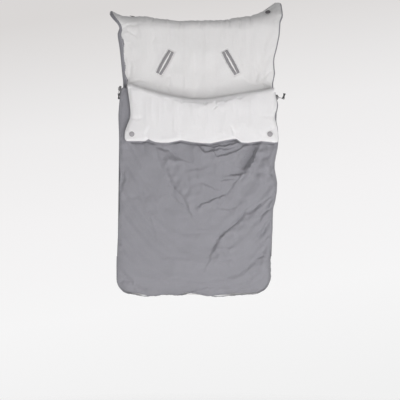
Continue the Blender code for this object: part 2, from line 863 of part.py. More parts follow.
def cloth_under(frame, radius, face, centre, reach):
    """Lowest and highest point of a cloth face under a disc. reach is the disc's radius in u and in v."""
    to_disc = frame.inverted()
    heights = []
    for over in spread(-1.0, 1.0, SEAT_SAMPLES):
        for up in spread(-1.0, 1.0, SEAT_SAMPLES):
            point = to_disc @ face(centre[0] + over * reach[0], centre[1] + up * reach[1])
            if math.hypot(point.x, point.y) <= radius + GAP:
                heights.append(point.z)
    return min(heights), max(heights)


def seat_stud(place, columns, rows, faces, centre, reach, turn_out):
    """Frame of a stud on a sheet, and the heights of its two seats: faces are the depths it clamps."""
    front = faceted(place, columns, rows, faces[0])
    back = faceted(place, columns, rows, faces[1])
    u, v = centre
    sideways = front(u + reach[0], v) - front(u - reach[0], v)
    along = front(u, v + reach[1]) - front(u, v - reach[1])
    axis = sideways.cross(along).normalized() * turn_out
    frame = stud_frame(front(u, v), axis)
    top = cloth_under(frame, STUD_RADIUS, front, centre, reach)[1] + GAP
    bottom = cloth_under(frame, SOCKET_RADIUS, back, centre, reach)[0] - GAP
    return frame, top, bottom


def width_between(side_to_side):
    return side_to_side(1.0) - side_to_side(0.0)


def seat_ear_stud(side):
    width = width_between(lambda u: across(u, 0.0))
    centre = (end_share(side) - SIGN[side] * EAR_STUD_IN / width, HEAD_LENGTH - EAR_STUD_UP)
    reach = (STUD_RADIUS / width, STUD_RADIUS)
    faces = (back_depths("lining")[0], back_depths("shell")[0])
    return seat_stud(back_place, panel_columns(), back_rows(), faces, centre, reach, 1.0)


def seat_flap_stud(side):
    x, z = flap_stud_place(side)
    width = width_between(lambda u: flap_across(u, z))
    length = FLAP_DROP - FLAP_LINE_DROP
    centre = ((x - flap_across(0.0, z)) / width, (FLAP_LINE_Z - z) / length)
    reach = (STUD_RADIUS / width, STUD_RADIUS / length)
    faces = (fixed(PANEL), fixed(0.0))
    return seat_stud(flap_place, panel_columns(), flap_rows(), faces, centre, reach, -1.0)


def seat_cover_stud(side, flap_frame):
    """The mating stud lies on the flap stud's axis."""
    x, _, z = flap_frame.translation
    u = (x - cover_across(0.0, z)) / width_between(lambda share: cover_across(share, z))
    length = mouth_edge(u) - ROLL_RADIUS - PANEL - BEND_Z
    centre = (u, (z - BEND_Z) / length)
    reach = (STUD_RADIUS / width_between(lambda share: cover_across(share, z)), STUD_RADIUS / length)
    faces = (fixed(0.0), fixed(PANEL))
    return seat_stud(cover_place, panel_columns(), cover_rows(), faces, centre, reach, 1.0)


def make_studs(materials):
    """All press studs. Returns the cutters of the holes in the back, the cover and the flap."""
    cutters = {"back": [], "cover": [], "flap": []}
    for side in ("left", "right"):
        frame, top, bottom = seat_ear_stud(side)
        make_stud_cap(f"ear_stud_cap_{side}", frame, top, bottom - SHANK_STICK, materials["stud"])
        make_stud_socket(f"ear_stud_socket_{side}", frame, bottom, materials["stud_back"])
        cutters["back"].append(make_hole_cutter(f"ear_hole_{side}", frame))

        frame, top, bottom = seat_flap_stud(side)
        make_stud_cap(f"flap_stud_cap_{side}", frame, top, bottom - SHANK_STICK, materials["stud"])
        make_stud_socket(f"flap_stud_socket_{side}", frame, bottom, materials["stud_back"])
        cutters["flap"].append(make_hole_cutter(f"flap_hole_{side}", frame))

        frame, top, bottom = seat_cover_stud(side, frame)
        make_ball_stud(f"cover_stud_{side}", frame, top, bottom - WASHER_HEIGHT, materials["stud_back"])
        make_washer(f"cover_stud_washer_{side}", frame, bottom, materials["stud_back"])
        cutters["cover"].append(make_hole_cutter(f"cover_hole_{side}", frame))
    return cutters


# Zips


def zip_frame(side, z):
    """Frame on the chain at a height: X out of the muff's side, Z up along the chain."""
    low = Vector((edge_x(side, -ZIP_BOTTOM_DROP), 0.0, -ZIP_BOTTOM_DROP))
    high = Vector((edge_x(side, -MOUTH_DROP), 0.0, -MOUTH_DROP))
    slope = math.atan2(high.x - low.x, high.z - low.z)
    share = (z - low.z) / (high.z - low.z)
    chain_x = lerp(low.x, high.x, share) + SIGN[side] * (GAP + SKIN / 2)
    place = Matrix.Translation((chain_x, ZIP_Y, z))
    return place @ Matrix.Rotation(slope, 4, "Y") @ Matrix.Diagonal((SIGN[side], 1.0, 1.0, 1.0))


def zip_length(side):
    return ZIP_BOTTOM_DROP - SLIDER_DROP[side]


def comb_outline(length, shift):
    """Outline, across and along, of the teeth and of the spine that holds them on the tape."""
    tip = -TOOTH_MESH / 2
    root = tip + TOOTH_LENGTH
    rise = TOOTH_PITCH / 4 - GAP
    slim = rise * TOOTH_TAPER_share
    outline = [(root, 0.0)]
    for index in range(int((length - TOOTH_PITCH) / TOOTH_PITCH)):
        z = TOOTH_PITCH * (index + shift)
        outline += [(root, z - rise), (tip, z - slim), (tip, z + slim), (root, z + rise)]
    return outline + [(root, length), (root + TOOTH_SPINE, length), (root + TOOTH_SPINE, 0.0)]


def make_chain(side, part, materials):
    """Teeth and tape of one half of a zip, in the frame of its bottom end."""
    side_of_chain = 1 if part == "back" else -1
    shift = 1 / 2 if part == "back" else 1.0
    frame = zip_frame(side, -ZIP_BOTTOM_DROP)
    length = zip_length(side)
    half = TOOTH_THICK / 2
    teeth = bmesh.new()
    outline = comb_outline(length, shift)
    low = [(-half, side_of_chain * y, z) for y, z in outline]
    high = [(half, side_of_chain * y, z) for y, z in outline]
    add_block(teeth, low, high)
    chain = finish_mesh(f"zip_half_{part}_{side}", teeth, materials["teeth"], frame)

    tape = bmesh.new()
    near = side_of_chain * (TOOTH_LENGTH - TOOTH_MESH / 2 + TOOTH_SPINE / 2)
    far = side_of_chain * (POUCH_DEPTH / 2 - GAP)
    top = length + (TAPE_TAIL if part == "back" else -GAP)
    add_box(tape, (-SKIN / 2, SKIN / 2), sorted((near, far)), (GAP, top))
    add_boolean(chain, finish_mesh(f"zip_tape_{part}_{side}", tape, materials["tape"], frame), "UNION")


def make_stop(side, materials):
    """Bottom stop, under the last tooth of the back panel's tape."""
    bm = bmesh.new()
    half = TOOTH_THICK / 2
    low = -STOP_LENGTH + GAP
    add_box(bm, (-half, half), (0.0, TOOTH_LENGTH), (low, -GAP))
    finish_mesh(f"zip_stop_{side}", bm, materials["metal"], zip_frame(side, -ZIP_BOTTOM_DROP))


def plate_outline():
    """Outline of a slider plate, across and along: broad at its head and narrow at its tail."""
    half = SLIDER_WIDTH / 2
    tail = half * SLIDER_TAIL_share
    head_z = SLIDER_LENGTH / 2
    return [(-tail, -head_z), (tail, -head_z), (half, 0.0), (half, head_z), (-half, head_z), (-half, 0.0)]


def make_slider(side, materials):
    """Slider: two plates joined by a post, lips on the back tape, and the bail that holds the pull."""
    frame = zip_frame(side, -SLIDER_DROP[side])
    inner = TOOTH_THICK / 2 + SLIDER_ROOM
    outer = inner + SLIDER_PLATE
    head_z = SLIDER_LENGTH / 2
    half = SLIDER_WIDTH / 2

    body = bmesh.new()
    low = [(inner, y, z) for y, z in plate_outline()]
    high = [(outer, y, z) for y, z in plate_outline()]
    add_block(body, low, high)
    slider = finish_mesh(f"slider_{side}", body, materials["metal"], frame)

    plate = bmesh.new()
    low = [(-outer, y, z) for y, z in plate_outline()]
    high = [(-inner, y, z) for y, z in plate_outline()]
    add_block(plate, low, high)
    add_boolean(slider, finish_mesh(f"slider_inner_{side}", plate, materials["metal"], frame), "UNION")

    post = bmesh.new()
    sink = SLIDER_PLATE / 2
    post_y = (-half + sink, -TOOTH_MESH / 2 - SLIDER_ROOM)
    add_box(post, (-inner - sink, inner + sink), post_y, (head_z - POST_LENGTH, head_z - sink / 2))
    add_boolean(slider, finish_mesh(f"slider_post_{side}", post, materials["metal"], frame), "UNION")

    lip_room = SKIN / 2 + SLIDER_ROOM
    for sign, word in ((1, "outer"), (-1, "inner")):
        lip = bmesh.new()
        x_ends = sorted((sign * lip_room, sign * (inner + sink)))
        add_box(lip, x_ends, (half - SLIDER_LIP, half - sink / 4), (sink, head_z - sink))
        name = f"slider_lip_{word}_{side}"
        add_boolean(slider, finish_mesh(name, lip, materials["metal"], frame), "UNION")

    bail = bmesh.new()
    reach = BAIL_LENGTH / 2
    foot = outer - sink
    under = outer + BAIL_RISE
    over = under + BAIL_THICK
    profile = [
        (foot, -reach),
        (over, -reach + BAIL_THICK / 2),
        (over, reach - BAIL_THICK / 2),
        (foot, reach),
        (foot, reach - BAIL_THICK),
        (under, reach - 2.0 * BAIL_THICK + BAIL_THICK / 2),
        (under, -reach + 2.0 * BAIL_THICK - BAIL_THICK / 2),
        (foot, -reach + BAIL_THICK),
    ]
    low = [(x, -BAIL_WIDTH / 2, z) for x, z in profile]
    high = [(x, BAIL_WIDTH / 2, z) for x, z in profile]
    add_block(bail, low, high)
    add_boolean(slider, finish_mesh(f"slider_bail_{side}", bail, materials["metal"], frame), "UNION")


def pull_frame(side):
    """Frame of a pull: its origin on the bar through the bail, its X along the link."""
    frame = zip_frame(side, -SLIDER_DROP[side])
    out = TOOTH_THICK / 2 + SLIDER_ROOM + SLIDER_PLATE + BAIL_RISE / 2
    droop = Matrix.Rotation(PULL_DROOP[side], 4, "Y")
    return frame @ Matrix.Translation((out, 0.0, 0.0)) @ droop


def make_pull(side, materials):
    """Wire link through the bail, and the moulded grip on the link's far end."""
    frame = pull_frame(side)
    curve = bpy.data.curves.new(f"pull_link_{side}", "CURVE")
    curve.dimensions = "3D"
    curve.bevel_depth = WIRE_RADIUS
    curve.bevel_resolution = 1
    half = LINK_WIDTH / 2
    tip = LINK_TIP_WIDTH / 2
    points = [(0.0, -half), (0.0, half), (LINK_LENGTH, tip), (LINK_LENGTH, -tip)]
    spline = curve.splines.new("POLY")
    spline.points.add(len(points) - 1)
    for point, (x, y) in zip(spline.points, points):
        point.co = (x, y, 0.0, 1.0)
    spline.use_cyclic_u = True
    link = add_object(f"pull_link_{side}", curve, materials["metal"])
    link.matrix_world = frame

    tip_frame = frame @ Matrix.Translation((LINK_LENGTH, 0.0, 0.0)) @ Matrix.Rotation(GRIP_TURN[side], 4, "Y")
    half_x = GRIP_THICK / 2
    half_y = tip - WIRE_RADIUS - GAP
    top = GRIP_LENGTH - half_x
    waist = half_x * GRIP_WAIST_share
    outline = [(-half_x, -half_x), (half_x, -half_x), (half_x, half_x), (waist, top / 2)]
    outline += [(half_x, top), (-half_x, top), (-waist, top / 2), (-half_x, half_x)]
    grip = bmesh.new()
    low = [(x, -half_y, z) for x, z in outline]
    high = [(x, half_y, z) for x, z in outline]
    add_block(grip, low, high)
    grip = finish_mesh(f"pull_grip_{side}", grip, materials["grip"], tip_frame)

    eye = bmesh.new()
    bmesh.ops.create_cone(
        eye,
        cap_ends=True,
        segments=TURN_STEPS,
        radius1=GRIP_EYE,
        radius2=GRIP_EYE,
        depth=LINK_WIDTH + OVERRUN,
        matrix=Matrix.Rotation(math.pi / 2, 4, "X"),
    )
    cutter = finish_mesh(f"grip_eye_{side}", eye, bpy.data.materials["cutter"], tip_frame)
    add_boolean(grip, cutter, "DIFFERENCE")


# Rear of the back panel


def make_pad(materials):
    """Dotted anti-slip panel, sewn flat on the rear of the back panel."""
    bm = bmesh.new()
    half_x = PAD_WIDTH / 2 - PAD_CORNER
    half_z = PAD_HEIGHT / 2 - PAD_CORNER
    centres = ((half_x, half_z), (-half_x, half_z), (-half_x, -half_z), (half_x, -half_z))
    outline = []
    for quarter, (x, z) in enumerate(centres):
        for step in range(CORNER_STEPS + 1):
            turn = math.pi / 2 * (quarter + step / CORNER_STEPS)
            outline.append((x + PAD_CORNER * math.cos(turn), z + PAD_CORNER * math.sin(turn) - PAD_DROP))
    low = [(x, BACK_REAR + GAP, z) for x, z in outline]
    high = [(x, BACK_REAR + GAP + PAD_THICK, z) for x, z in outline]
    add_block(bm, low, high)
    finish_mesh("anti_slip_panel", bm, materials["rubber"])


def make_band(materials):
    """Elastic band across the upper rear, which slips over a seat's backrest."""
    bm = bmesh.new()
    rear = BACK_REAR + GAP
    z_ends = (-BAND_DROP - BAND_WIDTH / 2, -BAND_DROP + BAND_WIDTH / 2)
    add_box(bm, (-BAND_LENGTH / 2, BAND_LENGTH / 2), (rear, rear + BAND_THICK), z_ends)
    finish_mesh("fixing_band", bm, materials["elastic"])


# Joint axes


def add_axis(name, place):
    """Empty on a joint's axis, for the pieces that turn about it."""
    axis = bpy.data.objects.new(name, None)
    axis.empty_display_size = AXIS_MARK_SIZE
    axis.location = place
    bpy.context.scene.collection.objects.link(axis)
    return axis


def hang_on(carrier, names):
    """Parent pieces to their carrier where they lie, with the cutters that shape them."""
    bpy.context.view_layer.update()
    for name in names:
        piece = bpy.data.objects[name]
        cutters = [modifier.object for modifier in piece.modifiers if modifier.type == "BOOLEAN"]
        for item in [piece] + cutters:
            item.parent = carrier
            item.matrix_parent_inverse = carrier.matrix_world.inverted()


def hang_pieces():
    sides = ("left", "right")
    layers = ("shell", "wadding", "lining")
    cover = [f"cover_{layer}" for layer in layers]
    cover += [f"{kind}_{side}" for kind in ("cover_gusset", "zip_half_cover") for side in sides]
    cover += [f"{kind}_{side}" for kind in ("cover_stud", "cover_stud_washer") for side in sides]
    flap = [f"flap_{layer}" for layer in layers]
    flap += [f"flap_stud_{kind}_{side}" for kind in ("cap", "socket") for side in sides]
    cover_axis = add_axis("cover_axis", (0.0, BEND_Y, BEND_Z))
    flap_axis = add_axis("flap_axis", (0.0, FLAP_HINGE_Y, FLAP_LINE_Z))
    hang_on(cover_axis, cover + [flap_axis.name])
    hang_on(flap_axis, flap)
    for side in sides:
        slider = bpy.data.objects[f"slider_{side}"]
        link = bpy.data.objects[f"pull_link_{side}"]
        hang_on(link, [f"pull_grip_{side}"])
        hang_on(slider, [link.name] + [modifier.object.name for modifier in slider.modifiers])


def main():
    clear_scene()
    materials = make_materials()
    slot_cutter = make_slot_cutter()
    cutters = make_studs(materials)
    make_back(materials, [slot_cutter] + cutters["back"])
    make_front(materials, cutters["cover"], cutters["flap"])
    make_foot_binding(materials)
    make_pad(materials)
    make_band(materials)
    for name, x, z, length, tilt in slot_list():
        make_welts(name, x, z, length, tilt, materials)
    for side in ("left", "right"):
        make_back_border(side, materials)
        make_cover_gusset(side, materials)
        make_chain(side, "back", materials)
        make_chain(side, "cover", materials)
        make_stop(side, materials)
        make_slider(side, materials)
        make_pull(side, materials)
    hang_pieces()


main()
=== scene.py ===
"""Looks of the stroller footmuff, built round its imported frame.

X runs across the muff, -Y is its front and +Z is up, in metres, with the origin on the head fold's axis.
Tables named PX and the paths of creases hold points of the photograph's 400-pixel frame.
"""

import math
from collections import namedtuple

import bmesh
import bpy
import numpy as np
from mathutils import Matrix, Vector


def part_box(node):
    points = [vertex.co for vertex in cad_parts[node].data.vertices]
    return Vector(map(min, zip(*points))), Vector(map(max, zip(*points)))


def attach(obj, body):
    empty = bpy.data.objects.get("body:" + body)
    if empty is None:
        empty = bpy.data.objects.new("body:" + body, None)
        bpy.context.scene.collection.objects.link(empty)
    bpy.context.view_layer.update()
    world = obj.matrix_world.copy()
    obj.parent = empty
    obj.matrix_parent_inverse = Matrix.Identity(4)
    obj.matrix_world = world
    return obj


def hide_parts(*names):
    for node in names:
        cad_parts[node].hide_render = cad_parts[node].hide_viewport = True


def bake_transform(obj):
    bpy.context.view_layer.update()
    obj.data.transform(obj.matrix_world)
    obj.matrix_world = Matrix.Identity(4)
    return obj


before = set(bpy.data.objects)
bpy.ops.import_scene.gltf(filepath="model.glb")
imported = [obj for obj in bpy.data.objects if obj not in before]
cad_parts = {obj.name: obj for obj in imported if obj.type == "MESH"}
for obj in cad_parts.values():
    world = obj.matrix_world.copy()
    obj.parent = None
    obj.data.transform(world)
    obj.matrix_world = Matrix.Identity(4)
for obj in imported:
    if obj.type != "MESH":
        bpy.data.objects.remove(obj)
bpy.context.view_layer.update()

SIDES = ("left", "right")
SIGN = {"left": -1.0, "right": 1.0}
SEED = 7
WAVES = 26

# Scale of the photograph, and sizes that the frame's pieces have too
PIXEL = 0.00285
AXIS_PX = (198.0, 30.5)
SKIN = 0.0009
PANEL = 0.0080
FOLD_RADIUS = 0.028
HEAD_LENGTH = 0.104
BACK_REAR = -0.028
BACK_FRONT = -0.036
ZIP_PLANE = -0.0445
FOOT_Z = -0.754
WAIST_Z = -0.110
MOUTH_Z = -0.160
POUCH_DEPTH = 0.017
POUCH_CROWN = 0.006
FOOT_DEPTH = 0.005
FOOT_RISE = 0.056
ROLL_RADIUS = 0.0035
PANEL_CORNER = 0.050
HEAD_CORNER = 0.016
COVER_CORNER = {"left": 0.040, "right": 0.048}
HALF_WIDTH = {"left": (0.222, 0.213, 0.2205, 0.228), "right": (0.230, 0.2165, 0.225, 0.2035)}
Ear = namedtuple("Ear", "head width radius bend")
EAR = {"left": Ear(0.222, 0.036, 0.056, 1.0), "right": Ear(0.230, 0.090, 0.092, 1.6)}


def px_x(px):
    return (np.asarray(px, float) - AXIS_PX[0]) * PIXEL


def px_z(py):
    return (AXIS_PX[1] - np.asarray(py, float)) * PIXEL


def lerp(start, end, share):
    return start + (end - start) * share


def ramp(value, start, end):
    """Smooth step from 0 at start to 1 at end."""
    share = np.clip((value - start) / (end - start), 0.0, 1.0)
    return share * share * (3.0 - 2.0 * share)


def hump(value, reach):
    """Bell curve, 1 at zero."""
    return np.exp(-((value / reach) ** 2))


def corner_inset(distance, radius):
    """How far a rounded corner's edge lies inside the square one, at a distance from its end."""
    gap = np.clip(radius - distance, 0.0, radius)
    return radius - np.sqrt(np.maximum(radius**2 - gap**2, 0.0))


def side_round(distance, width, depth):
    """How far a panel's face falls back at a distance from its edge."""
    share = np.clip(1.0 - distance / width, 0.0, 1.0)
    return depth * (1.0 - np.sqrt(np.maximum(1.0 - share**2, 0.0)))


def nearest(values, target):
    return int(np.argmin(np.abs(np.asarray(values) - target)))


def undulation(x, z, length, seed):
    """Soft noise between about -1 and 1, whose waves are about length long."""
    rng = np.random.default_rng(SEED + seed)
    total = np.zeros(np.broadcast(x, z).shape)
    for _ in range(WAVES):
        turn = rng.uniform(0.0, math.tau)
        pitch = math.tau / (length * rng.uniform(0.7, 1.5))
        phase = rng.uniform(0.0, math.tau)
        total += np.cos(pitch * (x * math.cos(turn) + z * math.sin(turn)) + phase)
    return total / math.sqrt(WAVES)


# Creases

CREASE_GAIN = 1.7
BROAD_SHARE = 0.45
BROAD_WIDTH = 3.2


def ledge(signed, gap, width):
    """A step that drops on the right-hand side of the path, with a groove along its foot."""
    step = 0.5 * (1.0 + np.tanh(signed / (0.55 * width)))
    body = np.exp(-np.abs(signed) / (4.5 * width)) * step
    return 0.75 * body - 0.55 * hump(signed + 0.9 * width, 0.9 * width)


def ridge(signed, gap, width):
    return hump(gap, width)


def valley(signed, gap, width):
    """A groove between two low banks."""
    return 0.35 * hump(gap - 2.1 * width, width) - hump(gap, width)


def crease_height(x, z, kind, height, width, path_px):
    """Height of one crease along its path. Height and width are in millimetres."""
    path = np.array([(px_x(px), px_z(py)) for px, py in path_px])
    best = np.full(x.shape, np.inf)
    signed, along = np.zeros(x.shape), np.zeros(x.shape)
    lengths = np.hypot(*(path[1:] - path[:-1]).T)
    total, walked = lengths.sum(), 0.0
    for start, end, length in zip(path, path[1:], lengths):
        run = (end - start) / length
        dx, dz = x - start[0], z - start[1]
        t = np.clip(dx * run[0] + dz * run[1], 0.0, length)
        off_x, off_z = dx - t * run[0], dz - t * run[1]
        gap = np.hypot(off_x, off_z)
        near = gap < best
        best = np.where(near, gap, best)
        signed = np.where(near, gap * np.sign(run[0] * off_z - run[1] * off_x), signed)
        along = np.where(near, (walked + t) / total, along)
        walked += length
    fade = np.sqrt(np.clip(np.sin(math.pi * np.clip(along, 0.02, 0.98)), 0.0, 1.0))
    return CREASE_GAIN * (height * 0.001) * kind(signed, best, width * 0.001) * fade


def creases(x, z, table):
    """Sum of a table's creases, their paths and heights made uneven as in real cloth."""
    strayed_x = x + 0.0016 * undulation(x, z, 0.022, 21) + 0.0008 * undulation(x, z, 0.009, 22)
    strayed_z = z + 0.0016 * undulation(x, z, 0.022, 23) + 0.0008 * undulation(x, z, 0.009, 24)
    total = np.zeros(np.broadcast(x, z).shape)
    for kind, height, width, *path in table:
        total += crease_height(strayed_x, strayed_z, kind, height, width, path)
        total += BROAD_SHARE * crease_height(strayed_x, strayed_z, kind, height, BROAD_WIDTH * width, path)
    return total * (1.0 + 0.30 * undulation(x, z, 0.030, 25))


# Outlines in the photograph, as (height, across) for the sides and (across, height) for the ends
BACK_LEFT_PX = (
    (6, 108.8), (11.5, 109), (14, 110.4), (17, 112.6), (20, 115.2), (23, 117.6), (27, 119.4), (30, 118.4),
    (33, 117.3), (38, 117.8), (45, 119), (52, 119.9), (58, 120.5), (66, 121.3), (75, 122.2), (81, 122.9),
    (88, 123), (96, 121.6), (104, 120.6),
)
BACK_RIGHT_PX = (
    (0, 282.4), (3, 282.6), (6.4, 282.9), (10, 283.3), (14.7, 283.5), (18, 282.4), (21, 281), (27, 280.6),
    (35, 280), (42, 278.6), (47, 277.6), (52, 276.3), (57, 274.9), (62, 274.5), (68, 274.9), (73, 275.5),
    (78, 274.6), (83, 273.5), (88, 273.7), (96, 275.2), (104, 276.6),
)
COVER_LEFT_PX = (
    (82, 123.5), (86, 122.8), (90, 121.4), (95, 120.2), (100, 119.7), (114, 118.5), (124, 118.7),
    (132, 119.1), (147, 119.3), (157, 119.4), (168, 119.9), (176, 120), (188, 119.4), (208, 119.6),
    (218, 118.6), (228, 118.4), (247, 117.5), (262, 117), (310, 117.1),
)
COVER_RIGHT_PX = (
    (82, 274), (90, 274.9), (98, 276.4), (104.6, 278.4), (111, 277.4), (116.7, 275.6), (122, 276.6),
    (129, 278), (138, 278.6), (147, 278), (156, 276.1), (163, 274.8), (169, 274.7), (176, 276.2),
    (183, 277.3), (192, 276.9), (202, 275.2), (208, 273.4), (215, 272.9), (228, 272.8), (240, 272),
    (250, 271), (257, 270.2), (262, 270), (268, 270.2), (310, 270.3),
)
FOOT_PX = (
    (110, 293), (133, 293.4), (143, 296), (156, 295.4), (164, 294.1), (173, 294.6), (182, 295),
    (190, 292.4), (196, 293.2), (202, 294), (216, 296.4), (234, 295), (247, 294), (255, 293.4),
    (280, 293),
)
FLAP_LEFT_PX = (
    (84, 127.6), (90, 128), (102, 129.8), (112, 130.8), (116, 130.7), (120, 129.8), (125.3, 127.4),
    (131.3, 125.4), (136.2, 125), (150, 124.8),
)
FLAP_RIGHT_PX = (
    (84, 272.6), (90, 273.7), (97, 275.7), (104, 277), (109.5, 276.6), (114, 274.8), (118, 274.5),
    (122.8, 276), (132.5, 278), (141, 277.9), (150, 277.7),
)
HEM_PX = (
    (120, 142), (131, 142), (142, 142.1), (144.6, 141.6), (146.8, 139.7), (149, 141.2), (153.5, 142.8),
    (160, 143.6), (168, 143.5), (174, 142.2), (180, 141), (185, 141.8), (190, 142.8), (202, 144),
    (210.5, 144.2), (217.7, 142.6), (226, 141), (233.5, 139.7), (236.5, 139.6), (239, 141.6),
    (241.4, 143.3), (248, 143.8), (255, 142.9), (261.4, 141.9), (268, 142.6), (274.7, 143.5),
    (283, 142.6),
)
MOUTH_PX = (
    (118, 83), (128, 83.4), (138, 86.4), (151, 91.2), (164, 94.4), (182, 97.8), (198, 99.3), (213, 98.2),
    (228, 95.2), (247, 92.6), (266, 89.6), (284, 86.5),
)

# Creases: the kind, height and width in millimetres, then the path
COVER_CREASES = (
    (ledge, 1.1, 3.6, (143.6, 142), (145.5, 148), (149, 154), (153.5, 159)),
    (ledge, 3.8, 4.6, (184.5, 161.2), (175, 158.8), (168.6, 151.8), (157, 148)),
    (valley, 1.8, 5.0, (177, 160), (170, 155), (163, 149.6)),
    (ledge, 3.6, 8.5, (161, 158), (167, 170), (173, 182), (181.5, 192), (186, 203)),
    (ledge, 4.2, 2.0, (221, 149.4), (211, 151), (203.6, 151.6), (197, 143.6)),
    (ledge, 3.4, 1.8, (240, 142), (228, 145.4), (213, 147.2), (199, 144.6)),
    (ledge, 4.2, 2.0, (247, 144.6), (235, 151.6), (226, 154.8), (217.5, 156.6), (210.5, 149.4)),
    (ledge, 2.4, 1.6, (236, 147.4), (228, 149.4), (220, 148.8)),
    (ledge, 9.0, 12.0, (253, 140), (256.4, 148), (254.6, 156), (248, 166), (243, 173)),
    (ridge, 2.6, 3.2, (257.6, 148), (255.6, 158), (249, 168), (243, 177)),
    (valley, 2.6, 7.0, (253.4, 145), (252.4, 152), (247, 161), (240.6, 170)),
    (ledge, 4.0, 2.4, (247, 172.6), (238, 174.8), (229, 175.6)),
    (ledge, 1.6, 2.4, (236, 179), (226, 180.6), (219, 180.8)),
    (ledge, 1.3, 3.0, (204, 168), (196, 169.8), (188, 170.6)),
    (ledge, 1.0, 3.4, (227, 195), (213, 188), (204, 184), (194, 180)),
    (ledge, 1.9, 4.2, (170, 182.6), (180, 192), (184.6, 198), (187, 205)),
    (ledge, 2.3, 4.2, (171, 195.6), (181, 202.4), (188, 210), (192.4, 214.6)),
    (ledge, 3.2, 2.5, (226, 194.6), (213, 199.8), (206, 202.8), (198, 206.6)),
    (ledge, 1.2, 2.2, (240, 208.4), (228, 209.4), (218, 209.2)),
    (valley, 1.8, 4.2, (277, 189.6), (265, 200.6), (255, 208.4), (246, 212.6), (239.5, 221),
     (231, 228.4)),
    (ledge, 4.0, 2.3, (247.6, 210), (243, 216.6), (239, 221.6), (231, 228.6), (224, 233.4), (218.4, 240)),
    (ledge, 3.6, 5.6, (226, 232), (217.7, 240.6), (213.6, 251), (209, 261)),
    (valley, 2.4, 2.6, (274.6, 206), (266, 211), (261.4, 216), (259, 223)),
    (valley, 2.6, 5.0, (271, 218.6), (267, 225), (262, 232.6), (256, 240.6)),
    (ridge, 2.0, 2.4, (277, 197), (271, 203), (268.6, 211)),
    (ledge, 1.1, 8.0, (158, 196), (143, 198.6), (132, 199.6), (121, 202)),
    (ledge, 2.0, 6.0, (142.6, 208), (149.6, 217), (152.6, 223.6), (156, 234)),
    (ledge, 1.1, 7.0, (200, 261), (186, 259.6), (168, 258.8), (149, 258)),
    (ledge, 1.2, 2.0, (233, 247.6), (226, 247.4), (218, 248.2)),
    (ledge, 1.4, 2.2, (234, 259.8), (226, 260.6), (217, 261.2)),
    (ledge, 1.5, 8.0, (269, 247), (258, 259.6), (247, 269.6), (236, 277)),
    (ledge, 1.8, 2.6, (213, 287.4), (203, 288.8), (195, 290.4), (188, 294)),
    (ledge, 1.8, 1.4, (190.5, 294.5), (200, 293.6), (211, 295)),
    (valley, 2.2, 4.5, (119, 163), (124, 172), (122.5, 181), (119, 192)),
    (valley, 2.4, 4.5, (279, 158), (273, 166), (272, 173), (277, 183)),
    (valley, 1.6, 3.0, (116, 283), (124, 280), (132, 281.6)),
    (valley, 1.7, 2.8, (271.5, 256.4), (263, 255.6), (256, 258)),
    (ledge, 1.2, 4.5, (131, 183), (139, 192), (150, 198)),
    (ledge, 2.2, 1.7, (124.8, 106), (126.4, 111), (125, 116)),
    (ledge, 2.2, 1.9, (128.6, 112.6), (123, 114.6), (119, 113)),
    (ledge, 2.2, 1.7, (127.4, 121.6), (124, 120.2), (120, 122.8)),
    (valley, 2.4, 1.9, (120, 96), (123.6, 91), (128, 88.4)),
    (valley, 1.8, 1.9, (122, 106), (125, 96), (124, 89)),
)
FLAP_CREASES = (
    (ledge, 1.5, 3.0, (200, 100.4), (191, 101.6), (182, 101.8), (172, 99.4)),
    (ledge, 1.5, 3.0, (212, 101), (206, 103.6), (199, 103.2), (192, 100.6)),
    (ledge, 1.2, 3.2, (236, 98.6), (227, 100.6), (218, 101)),
    (ledge, 1.9, 2.4, (211, 98.6), (216, 102), (217.6, 106.4), (213.6, 110.6)),
    (valley, 1.1, 2.4, (150, 93.6), (162, 97.4), (174, 99.2)),
    (valley, 1.1, 2.6, (226, 98.4), (240, 97), (255, 93.8)),
    (valley, 1.0, 3.8, (146.8, 139), (147.2, 134), (149, 128)),
    (valley, 1.1, 4.0, (235.4, 139), (234.4, 133), (231, 126)),
    (valley, 0.7, 5.5, (180, 141), (181, 135), (179, 128)),
    (valley, 0.6, 5.0, (262, 141), (261, 135), (258, 128)),
    (valley, 0.5, 4.0, (130.5, 118), (136, 119.4), (143, 118)),
    (valley, 0.5, 4.0, (275, 115.6), (270, 117), (262, 116)),
)
LINING_CREASES = (
    (valley, 0.9, 2.6, (239, 48), (240.4, 60), (240, 74)),
    (valley, 1.4, 2.4, (264.6, 68), (264, 78), (265.6, 90)),
    (valley, 0.9, 3.0, (256, 60), (257.4, 74), (256.4, 88)),
    (ledge, 1.0, 2.4, (239, 74.6), (245, 78.6), (252, 84.4)),
    (valley, 1.0, 2.8, (169, 74), (170, 82), (168, 92)),
    (valley, 0.8, 2.6, (160, 76), (159, 84), (160.4, 92)),
    (valley, 0.9, 3.4, (121, 28), (129, 30.6), (139, 36)),
    (valley, 0.9, 3.6, (122, 30), (127, 39), (130, 51)),
    (valley, 0.8, 3.4, (120.6, 27), (131, 24.6), (143, 23)),
    (valley, 1.4, 2.6, (129, 83), (136, 80), (147, 81)),
    (valley, 1.0, 3.2, (127, 82), (131, 72), (130, 60)),
    (valley, 1.3, 2.8, (272, 86), (263, 82.6), (252, 84)),
    (valley, 1.0, 2.8, (275, 70), (268, 73), (262, 80)),
    (valley, 0.7, 4.0, (154, 34), (153, 44), (157, 56)),
)
# Short creases over the head fold, all of one kind
TOP_CREASES = (
    ((155, 14), (152, 22), (154, 29)),
    ((202, 19), (201, 25), (203, 32)),
    ((230, 15), (229, 21), (231, 30)),
    ((239, 14), (241, 20), (240, 27)),
    ((214, 18), (216, 24), (215, 31)),
    ((179, 17), (180, 23), (178, 30)),
    ((253, 10), (250, 18), (252, 26)),
)
TOP_CREASE = (valley, 1.1, 2.2)


